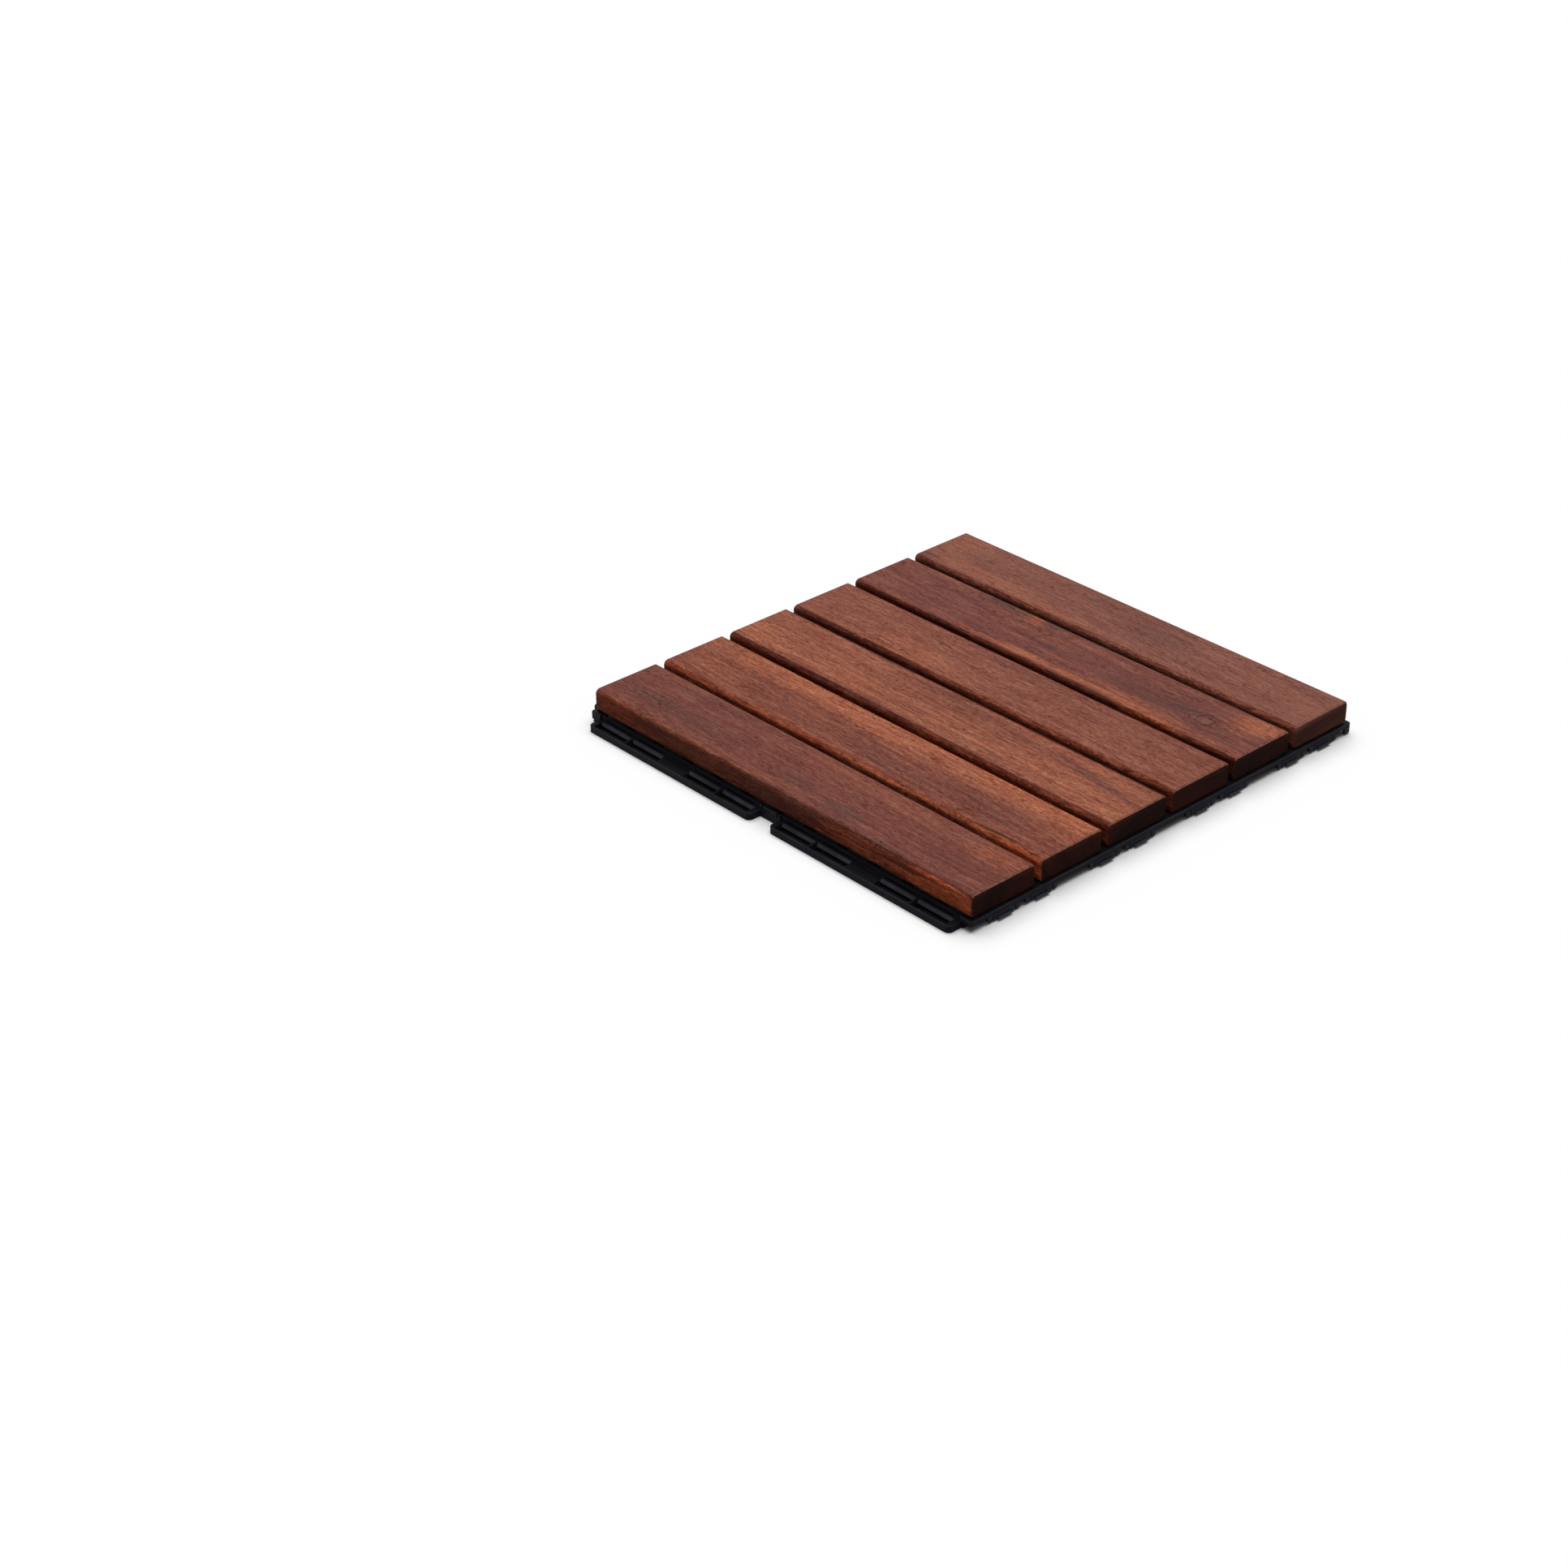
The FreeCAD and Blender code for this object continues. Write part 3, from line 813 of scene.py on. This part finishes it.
    def _edge_shade_and_tears(
        self,
        sheet: NodeSheet,
        colour: Socket,
        side_facing: Socket,
        upright: Socket,
        place: Socket,
    ) -> Socket:
        """Paint shade on the long edges by how far they turn to the side, with their own edge
        colour; vary them with flecks, and add the short dark tears that the cutter leaves.

        Args:
            sheet: The material's own tree.
            colour: The colour of the planed faces.
            side_facing: How far the surface has turned to the side.
            upright: How far it belongs to the edge.
            place: The place on the slat.

        Returns:
            The colour of the faces and the edges.
        """
        # The arris and side shares are partly the edge's own colour and partly painted shade, by
        # which way the surface faces.
        turned = sheet.remap(side_facing, self.side_start, self.side_full)
        level = sheet.tint(self.arris[:3], sheet.remap(side_facing, *self.arris_shade))
        depth = sheet.blend(turned, level, self.side)
        colour = sheet.blend(upright, colour, sheet.blend(1.0, colour, depth, "MULTIPLY"))
        shades = []
        for kind, span, swell in (
            (self.fleck, self.fleck_span, self.fleck_swell * self.edge_contrast),
            (self.broad, self.broad_span, self.broad_swell * self.edge_contrast),
        ):
            cloud = sheet.noise(place, kind)
            shades.append(sheet.remap(cloud, span.low, span.high, 1.0 - swell, 1.0 + swell))
        varied = sheet.tint(colour, sheet.product(*shades), self.edge_warmth)
        colour = sheet.blend(upright, colour, varied)
        x, y, z = sheet.split(place)
        slanting = sheet.vector(sheet.total(x, sheet.product(z, self.tear_slant)), y, z)
        limit = sheet.remap(sheet.noise(place, self.tear_patch), *self.tear_limit)
        full = sheet.total(limit, self.tear_edge)
        torn = sheet.remap(sheet.noise(slanting, self.tear), limit, full)
        return sheet.blend(sheet.product(torn, upright, self.tear_share), colour, self.pore)


class MouldSkin(Effect):
    """The fine skin of a moulding: spark grain, flow marks and scuffed high spots."""

    name = "mould skin"
    takes = {"Place": SocketKind.VECTOR}
    gives = {"Grain": SocketKind.VALUE, "Flow": SocketKind.VALUE, "Scuff": SocketKind.VALUE}

    grain: ClassVar[Noise] = Noise(2600.0, 2600.0, 2600.0, roughness=0.6)
    flow: ClassVar[Noise] = Noise(55.0, 55.0, 55.0, detail=3.0, roughness=0.6)
    scratch: ClassVar[Noise] = Noise(300.0, 300.0, 1200.0, detail=3.0, roughness=0.7)
    scuff: ClassVar[Ramp] = Ramp(0.6, 0.75)

    def draw(self, sheet: NodeSheet, given: Outputs) -> dict[str, Feed]:
        """Wire the group. See Effect.draw."""
        place = given["Place"]
        return {
            "Grain": sheet.noise(place, self.grain),
            "Flow": sheet.noise(place, self.flow),
            "Scuff": sheet.remap(sheet.noise(place, self.scratch), *self.scuff),
        }


@dataclass(frozen=True)
class MouldedFinish:
    """Black moulded plastic: painted shade on faces that look up, lighter upright walls, a painted
    highlight on rounded edges, and painted light on the tongues and noses.
    """

    # Painted shade: faces that look up are darker than the upright walls.
    shaded_top: Colour = tone(14, 14, 16)
    wall: Colour = tone(34, 32, 40)
    land_turn: Ramp = Ramp(0.6, 0.98)
    # Painted highlight on the rounded edges, between the upright walls and the tops.
    arris: Colour = tone(66, 67, 78)
    highlight_share: float = 0.7
    highlight_from_wall: Ramp = Ramp(0.15, 0.5)
    highlight_to_top: Ramp = Ramp(0.8, 0.97, 1.0, 0.0)
    highlight_least: float = 0.35
    # Painted light on the tongues below the flange and on the noses beyond it, which lie in shade.
    lit_tongue: Colour = tone(56, 55, 65)
    tongue_start: Ramp = Ramp(150.4 * MM, 150.8 * MM)
    tongue_top: Ramp = Ramp(3.9 * MM, 4.5 * MM, 1.0, 0.0)
    lit_nose: Colour = tone(64, 63, 74)
    nose_start: Ramp = Ramp(152.2 * MM, 152.6 * MM)
    flow_least: float = 0.82
    flow_most: float = 1.14
    scuff_shade: float = 0.15
    roughness: float = 0.45
    flow_roughness: float = 0.12
    scuff_roughness: float = 0.1
    gloss: float = 0.05
    relief: float = 0.03 * MM

    def material(self, name: str) -> bpy.types.Material:
        """Build the material.

        Args:
            name: The material's name.

        Returns:
            The finished material.
        """
        material, sheet = blank_material(name)
        surface = sheet.add("ShaderNodeTexCoord").outputs
        skin = sheet.effect(MouldSkin(), Place=surface["Object"])
        rise = sheet.maths("ABSOLUTE", sheet.split(surface["Normal"])[2])
        # Painted shade: faces that look up take the darker tone.
        colour = sheet.blend(sheet.remap(rise, *self.land_turn), self.wall, self.shaded_top)
        # Painted highlight on rounded edges, varied by the flow marks.
        edge_highlight = sheet.product(
            sheet.remap(rise, *self.highlight_from_wall), sheet.remap(rise, *self.highlight_to_top)
        )
        rubbed = sheet.vary(skin["Flow"], self.highlight_least, 1.0)
        arris = sheet.product(edge_highlight, rubbed, self.highlight_share)
        colour = sheet.blend(arris, colour, self.arris)
        x, y, z = sheet.split(surface["Object"])
        outward = sheet.largest(x, y)
        # Painted light: the tongues below the flange and the noses beyond it are lightened.
        lit_tongue = sheet.product(
            sheet.remap(outward, *self.tongue_start), sheet.remap(z, *self.tongue_top)
        )
        colour = sheet.blend(lit_tongue, colour, self.lit_tongue)
        colour = sheet.blend(sheet.remap(outward, *self.nose_start), colour, self.lit_nose)
        shade = sheet.total(
            sheet.vary(skin["Flow"], self.flow_least, self.flow_most),
            sheet.product(skin["Scuff"], self.scuff_shade),
        )
        roughness = sheet.total(
            self.roughness,
            sheet.product(skin["Flow"], self.flow_roughness),
            sheet.product(skin["Scuff"], self.scuff_roughness),
        )
        sheet.surface(
            Base_Color=sheet.tint(colour, shade),
            Roughness=roughness,
            Specular_IOR_Level=self.gloss,
            Normal=sheet.bump(skin["Grain"], self.relief),
        )
        return material


@dataclass(frozen=True)
class PlatedFinish:
    """Zinc-plated steel."""

    bright: Colour = tone(196, 196, 190)
    dull: Colour = tone(138, 138, 130)
    roughness: float = 0.34
    scuff_roughness: float = 0.2
    relief: float = 0.01 * MM

    def material(self, name: str) -> bpy.types.Material:
        """Build the material.

        Args:
            name: The material's name.

        Returns:
            The finished material.
        """
        material, sheet = blank_material(name)
        place = sheet.add("ShaderNodeTexCoord").outputs["Object"]
        skin = sheet.effect(MouldSkin(), Place=place)
        spangle = sheet.vary(skin["Flow"], 0.0, 1.0)
        scuffs = sheet.product(skin["Scuff"], self.scuff_roughness)
        sheet.surface(
            Base_Color=sheet.blend(spangle, self.dull, self.bright),
            Roughness=sheet.total(self.roughness, scuffs),
            Metallic=1.0,
            Normal=sheet.bump(skin["Grain"], self.relief),
        )
        return material


# Slat 1, at the front: even and red, with bright flecks along its front arris.
EVEN_RED = WoodFinish(
    light=tone(129, 74, 61),
    dark=tone(102, 54, 45),
    pith_across=30.0,
    pith_below=26.0,
    lean=0.02,
    contrast=0.8,
    arris=(0.66, 0.7, 0.8, 1.0),
    side=(0.74, 0.66, 0.6, 1.0),
    edge_start=0.42,
    edge_full=0.7,
    side_start=0.6,
    side_full=0.95,
    edge_contrast=0.6,
    grain=0.9,
    marks=(
        Mark(AMBER, 134, -23.8, 32, 1.0, softness=0.5),
        Mark(AMBER, 75, -23.8, 40, 0.8, strength=0.5, softness=0.5),
        Mark(GOLD, 130, 12, 20, 8, strength=0.4),
        Mark(AMBER, -130, -23.8, 28, 1.4, strength=0.3),
        Mark(PALE, -72, -22.2, 70, 1.0, strength=0.45, softness=0.5),
        Mark(PALE, 36, 15, 60, 5, strength=0.2),
        Mark(DUSKY, 76, -22.6, 78, 1.1, strength=0.6, softness=0.5),
        Mark(DUSKY, 96, -19.4, 56, 3.2, strength=0.45),
        Mark(CLOUD, -95, -3, 45, 6, strength=0.55),
        Mark(CLOUD, 8, -9, 26, 5, strength=0.55),
        Mark(CLOUD, 44, -13, 18, 6, strength=0.65),
        Mark(CLOUD, -85, 14, 30, 5, strength=0.4),
        Mark(DUSKY, 110, -8, 30, 6, tilt=6, strength=0.35),
        Mark(INK, 81, -20.3, 0.7, 0.6, softness=0.4, raggedness=0.0),
        Mark(INK, 80, -22.6, 0.6, 0.5, softness=0.4, raggedness=0.0),
        Mark(INK, 66, -11, 0.5, 0.4, softness=0.4, raggedness=0.0),
    ),
)

# Slat 2: dark and light side by side, with a bright arris, a crack and small ticks.
TWO_TONE = WoodFinish(
    light=tone(150, 84, 61),
    dark=tone(111, 59, 47),
    pith_across=-44.0,
    pith_below=18.0,
    lean=-0.03,
    contrast=1.1,
    arris=(1.38, 1.12, 0.88, 1.0),
    side=(1.1, 0.95, 0.75, 1.0),
    side_start=0.86,
    side_full=0.97,
    edge_contrast=0.65,
    marks=(
        Mark(PALE, 0, 15, 260, 8, strength=0.75, raggedness=1.2),
        Mark(PALE, -70, -22.2, 70, 1.4, strength=0.25),
        Mark(DUSKY, 10, -20.2, 34, 3.2, strength=0.5),
        Mark(DUSKY, 114, -18.5, 42, 3.2, strength=0.45),
        Mark(PALE, -128, -13, 36, 9, strength=0.35),
        Mark(DUSKY, -136, 13, 14, 8, strength=0.35),
        Mark(DUSKY, -62, -12, 66, 7, strength=0.28),
        Mark(DUSKY, -4, -13, 40, 5, strength=0.25),
        Mark(DUSKY, 75, -8, 95, 13, strength=0.6),
        Mark(DUSKY, -60, 2, 50, 5, strength=0.4),
        Mark(GOLD, 122, -22.6, 30, 1.6, strength=0.45, softness=0.4),
        Mark(AMBER, 140, -23.8, 26, 0.8, strength=0.6),
        Mark(INK, 116, -20.1, 19, 1.1, tilt=2.5, strength=0.85, raggedness=0.6),
        Mark(INK, 143, -21.5, 6, 0.6, strength=0.7, raggedness=0.5),
        Mark(INK, -29, 0.5, 3.5, 0.6, tilt=-8, strength=0.5),
        Mark(INK, -40, 4, 5, 0.4, strength=0.4),
        Mark(INK, -94, 9.5, 2.5, 0.7, tilt=-20, strength=0.5),
        Mark(INK, 38, 10, 1.6, 0.5, strength=0.5),
        Mark(INK, -72, 7, 0.3, 3.2, tilt=14, strength=0.35),
    ),
)

# Slat 3: the palest, with thin dusky streaks and a dark arris that is partly painted shade.
PALE_STREAKED = WoodFinish(
    light=tone(160, 95, 70),
    dark=tone(122, 68, 53),
    pith_across=12.0,
    pith_below=62.0,
    lean=0.05,
    contrast=1.1,
    arris=(0.5, 0.34, 0.31, 1.0),
    side=(0.45, 0.32, 0.24, 1.0),
    edge_start=0.02,
    edge_full=0.14,
    marks=(
        Mark(DUSKY, 30, -20, 125, 2.8, strength=0.4),
        Mark(DUSKY, 62, -14, 55, 3.5, strength=0.22),
        Mark(PALE, 24, -4, 60, 5, strength=0.3),
        Mark(PALE, 74, 16, 42, 5, strength=0.35),
        Mark(PALE, -130, -8, 30, 10, strength=0.5),
        Mark(PALE, -58, -12, 34, 8, strength=0.45),
        Mark(DUSKY, 120, 5.5, 42, 2.6, tilt=-10, strength=0.7),
        Mark(DUSKY, 30, 14, 90, 2.2, tilt=-3, strength=0.5),
        Mark(DUSKY, -30, -10, 22, 1.6, strength=0.5),
        Mark(DUSKY, -118, -4, 12, 1.0, strength=0.5),
    ),
)

# Slat 4: plain, with a fine dark line along the left of its front arris, painted shade of the gap
# beside it.
PLAIN = WoodFinish(
    light=tone(141, 83, 65),
    dark=tone(114, 63, 51),
    pith_across=-8.0,
    pith_below=90.0,
    contrast=0.7,
    arris=(0.84, 0.62, 0.48, 1.0),
    side=(0.68, 0.52, 0.42, 1.0),
    edge_start=0.05,
    edge_full=0.2,
    grain=0.93,
    marks=(
        # Painted shade: the gap's shadow line along the left of the front arris.
        Mark(DUSKY, -108, -22.6, 80, 1.0, strength=0.75, softness=0.5),
        Mark(DUSKY, 10, 15, 60, 3.0, strength=0.35),
        Mark(DUSKY, 92, 12, 50, 8, strength=0.2),
        Mark(PALE, -58, -12, 34, 8, strength=0.35),
        Mark(INK, 10, -3.6, 13, 0.4, strength=0.5, raggedness=0.4),
        Mark(INK, -65, -15.4, 0.9, 0.7, softness=0.4, raggedness=0.0),
    ),
)

# Slat 5: dusky, with gold streaks and a knot near its right end.
KNOTTY = WoodFinish(
    light=tone(140, 79, 65),
    dark=tone(98, 55, 48),
    pith_across=36.0,
    pith_below=30.0,
    lean=-0.08,
    contrast=1.1,
    arris=(0.6, 0.47, 0.38, 1.0),
    side=(0.42, 0.31, 0.24, 1.0),
    edge_start=0.3,
    edge_full=0.58,
    grain=0.86,
    knot=Knot(110.5, -2.0, 5.8),
    marks=(
        Mark(GOLD, 36, -18.4, 92, 3.4, strength=0.7),
        Mark(GOLD, 92, -22.4, 26, 1.6, strength=0.9),
        Mark(DUSKY, -122, -18, 30, 5, strength=0.3),
        Mark(GOLD, 80, -15, 34, 4.4, tilt=-3, strength=0.45),
        Mark(GOLD, -30, 6, 38, 5, strength=0.22),
        Mark(GOLD, 138, 9, 16, 10, tilt=20, strength=0.65, softness=0.9),
        Mark(GOLD, -38, 16, 9, 5, tilt=-25, strength=0.6, softness=0.9),
        Mark(DUSKY, 70, -3, 50, 5, tilt=4, strength=0.6),
        Mark(DUSKY, 92, -9, 30, 4, strength=0.45),
        Mark(DUSKY, -101, -13, 18, 7, strength=0.35),
        Mark(DUSKY, 58, 12, 34, 7, strength=0.22),
        Mark(CLOUD, 132, -9.5, 9, 4, tilt=-40, strength=0.5, softness=0.9),
        Mark(CLOUD, 94, 1, 13, 5, strength=0.7),
        Mark(CLOUD, -62, 20, 17, 4, strength=0.9),
        Mark(CLOUD, -24, 20, 9, 4, strength=0.9),
        Mark(INK, 111.4, 1.1, 1.5, 0.9, tilt=-30, softness=0.35, raggedness=0.1),
    ),
)

# Slat 6, at the back: quiet and greyer, with paler sawn ends.
QUIET = WoodFinish(
    light=tone(142, 89, 72),
    dark=tone(115, 69, 58),
    pith_across=20.0,
    pith_below=120.0,
    lean=0.04,
    contrast=0.7,
    arris=(0.96, 0.74, 0.7, 1.0),
    side=(0.78, 0.68, 0.6, 1.0),
    side_start=0.6,
    side_full=1.0,
    grain=0.72,
    end_light=tone(101, 61, 52),
    end_dark=tone(66, 38, 32),
    marks=(
        Mark(PALE, -62, -18, 48, 4, strength=0.35),
        Mark(DUSKY, 26, -21.8, 56, 1.2, strength=0.35, softness=0.5),
        Mark(DUSKY, -144, -18, 12, 6, strength=0.45),
        Mark(CLOUD, 22, 4, 22, 8, strength=0.4),
        Mark(DUSKY, 0, 13, 34, 9, strength=0.32),
        Mark(PALE, -106, -12, 40, 9, strength=0.32),
        Mark(DUSKY, 104, -13, 44, 8, strength=0.3),
        Mark(CLOUD, -108, -2, 22, 6, strength=0.3),
        Mark(DUSKY, 135, 12, 22, 4, tilt=-18, strength=0.25),
        Mark(PALE, -138, 10, 14, 9, strength=0.25),
    ),
)

SLAT_FINISHES = (EVEN_RED, TWO_TONE, PALE_STREAKED, PLAIN, KNOTTY, QUIET)


def dress(piece: bpy.types.Object, material: bpy.types.Material) -> None:
    """Give a piece one material, in place of those that it came with."""
    piece.data.materials.clear()
    piece.data.materials.append(material)


@dataclass
class SlatField:
    """The six slats, from the front of the tile to its back."""

    nodes: dict[str, bpy.types.Object]
    finishes: tuple[WoodFinish, ...] = SLAT_FINISHES
    seed_step: float = 3.7

    def build(self) -> None:
        """Dress every slat in its own finish."""
        for number, finish in enumerate(self.finishes, start=1):
            name = f"slat_{number}"
            low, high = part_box(name)
            seed = number * self.seed_step
            material = finish.material(f"oiled_wood_{number}", (low + high) / 2, seed)
            dress(self.nodes[name], material)
            LOG.info("%s: oiled hardwood, %d marks", name, len(finish.marks))


@dataclass
class BaseGrid:
    """The moulded base under the slats."""

    nodes: dict[str, bpy.types.Object]
    finish: MouldedFinish = MouldedFinish()

    def build(self) -> None:
        """Dress the base."""
        dress(self.nodes["base_grid"], self.finish.material("black_moulding"))
        LOG.info("base_grid: black moulded plastic")


@dataclass
class ScrewSet:
    """The screws that hold the slats from below."""

    nodes: dict[str, bpy.types.Object]
    finish: PlatedFinish = PlatedFinish()

    def build(self) -> None:
        """Dress the screws."""
        dress(self.nodes["screws"], self.finish.material("zinc_plate"))
        LOG.info("screws: zinc-plated steel")


@dataclass
class Studio:
    """Pale floor, soft light from above and a pale surround.

    Under the tile the floor carries a painted contact shadow, inside the rim, and inside the
    strips of loops that stand out on the -X and -Y sides.
    """

    lowest_corner: Vector
    floor_half: float = 6.0
    floor_shade: Colour = tone(255, 255, 255)
    floor_bounce: Colour = tone(142, 142, 144)
    floor_lift: float = 0.025
    surround: Colour = tone(255, 255, 255)
    ambient: float = 0.13
    rim_half: float = 152.0 * MM
    loop_from: float = 7.7 * MM
    loop_to: float = 144.3 * MM
    contact_reach: float = 6.0 * MM
    contact_shade: float = 0.12
    sky_strength: float = 2.75
    sky_spread: float = 70.0
    sky_tilt: float = -10.0

    def build(self) -> None:
        """Set up the floor, the world and the light from above."""
        self._floor()
        self._world()
        self._sky_light()
        LOG.info("studio: floor, world and light from above")

    def _camera_share(self, sheet: NodeSheet) -> Socket:
        """Find the rays that show the background itself: seen, mirrored or passed through.

        Args:
            sheet: The tree of the floor or the world.

        Returns:
            1 for such a ray, and 0 for any other.
        """
        path = sheet.add("ShaderNodeLightPath").outputs
        rays = ("Is Camera Ray", "Is Glossy Ray", "Is Transmission Ray")
        return sheet.largest(*(path[ray] for ray in rays))

    def _floor(self) -> None:
        """Lay a plain floor under the tile."""
        half = self.floor_half
        mesh = bpy.data.meshes.new("floor")
        corners = [(-half, -half, 0.0), (half, -half, 0.0), (half, half, 0.0), (-half, half, 0.0)]
        mesh.from_pydata(corners, [], [(0, 1, 2, 3)])
        floor = bpy.data.objects.new("floor", mesh)
        bpy.context.scene.collection.objects.link(floor)
        material, sheet = blank_material("pale_floor")
        seen = self._camera_share(sheet)
        lit = self._contact_shadow(sheet)
        shade = sheet.tint(self.floor_shade[:3], lit)
        matt = sheet.add("ShaderNodeBsdfDiffuse")
        sheet.feed(matt.inputs["Color"], sheet.blend(seen, self.floor_bounce, shade))
        glow = sheet.add("ShaderNodeEmission")
        sheet.feed(glow.inputs["Strength"], sheet.product(seen, lit, self.floor_lift))
        both = sheet.add("ShaderNodeAddShader")
        sheet.feed(both.inputs[0], matt.outputs["BSDF"])
        sheet.feed(both.inputs[1], glow.outputs["Emission"])
        sheet.finish(both.outputs["Shader"])
        mesh.materials.append(material)
        floor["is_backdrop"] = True

    def _contact_shadow(self, sheet: NodeSheet) -> Socket:
        """Paint a contact shadow on the floor: find how light the floor is.

        Args:
            sheet: The floor's tree.

        Returns:
            1 beside the tile, and little far under it.
        """
        x, y, _ = sheet.split(sheet.add("ShaderNodeTexCoord").outputs["Object"])
        reach_x = sheet.maths("ABSOLUTE", x)
        reach_y = sheet.maths("ABSOLUTE", y)
        rim = sheet.smallest(
            sheet.maths("SUBTRACT", self.rim_half, reach_x),
            sheet.maths("SUBTRACT", self.rim_half, reach_y),
        )
        depths = [rim]
        low = self.lowest_corner
        for outward, edge, along in ((y, low.y, reach_x), (x, low.x, reach_y)):
            strip = sheet.smallest(
                sheet.maths("SUBTRACT", outward, edge),
                sheet.product(outward, -1.0),
                sheet.maths("SUBTRACT", along, self.loop_from),
                sheet.maths("SUBTRACT", self.loop_to, along),
            )
            depths.append(strip)
        # Painted contact shadow: darker the further inside the tile's footprint.
        depth = sheet.largest(*depths)
        return sheet.remap(depth, 0.0, self.contact_reach, 1.0, self.contact_shade)

    def _world(self) -> None:
        """Light the tile faintly from all round, and show white behind it."""
        world = bpy.data.worlds.new("studio")
        world.use_nodes = True
        sheet = NodeSheet(world.node_tree)
        background = sheet.add("ShaderNodeBackground")
        sheet.feed(background.inputs["Color"], self.surround)
        strength = sheet.remap(self._camera_share(sheet), 0.0, 1.0, self.ambient, 1.0)
        sheet.feed(background.inputs["Strength"], strength)
        sheet.finish(background.outputs["Background"], "ShaderNodeOutputWorld")
        bpy.context.scene.world = world

    def _sky_light(self) -> None:
        """Light the tile evenly from above, as a broad softbox does."""
        light = bpy.data.lights.new("overhead_softbox", "SUN")
        light.energy = self.sky_strength
        light.angle = math.radians(self.sky_spread)
        lamp = bpy.data.objects.new("overhead_softbox", light)
        tilt = math.radians(self.sky_tilt)
        lamp.rotation_euler = (tilt, tilt, 0.0)
        bpy.context.scene.collection.objects.link(lamp)


@dataclass
class PhotoCamera:
    """The camera, where the photograph was taken from."""

    azimuth: float = 47.993
    elevation: float = 30.344
    roll: float = -0.572
    distance: float = 1.706567
    right_offset: float = -0.104558
    up_offset: float = -0.050448
    lens: float = 69.47
    sensor: float = 36.0

    def build(self, target: Vector) -> None:
        """Place the camera.

        Args:
            target: The middle of the tile's top, which the offsets are measured from.
        """
        angles = (self.azimuth, self.elevation, self.roll)
        turn, lift, lean = (math.radians(angle) for angle in angles)
        away = Vector((math.sin(turn), -math.cos(turn), 0.0))
        back = away * math.cos(lift) + Vector((0.0, 0.0, math.sin(lift)))
        level = Vector((math.cos(turn), math.sin(turn), 0.0))
        upward = back.cross(level)
        right = level * math.cos(lean) + upward * math.sin(lean)
        up = upward * math.cos(lean) - level * math.sin(lean)
        data = bpy.data.cameras.new("camera")
        data.sensor_width = self.sensor
        data.lens = self.lens
        camera = bpy.data.objects.new("camera", data)
        place = target + back * self.distance + right * self.right_offset + up * self.up_offset
        axes = Matrix((right, up, back)).transposed().to_4x4()
        camera.matrix_world = Matrix.Translation(place) @ axes
        bpy.context.scene.collection.objects.link(camera)
        bpy.context.scene.camera = camera
        LOG.info("camera: %.3f m from the tile", self.distance)


def main() -> None:
    """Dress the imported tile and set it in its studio."""
    logging.basicConfig(level=logging.INFO, format="%(message)s")
    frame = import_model()
    cad_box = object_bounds()
    nodes = frame["nodes"]
    bpy.context.scene.view_settings.view_transform = "Standard"
    slat_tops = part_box("slat_1")[1].z
    PhotoCamera().build(Vector((0.0, 0.0, slat_tops)))
    Studio(cad_box[0]).build()
    BaseGrid(nodes).build()
    SlatField(nodes).build()
    ScrewSet(nodes).build()


if __name__ == "__main__":
    main()
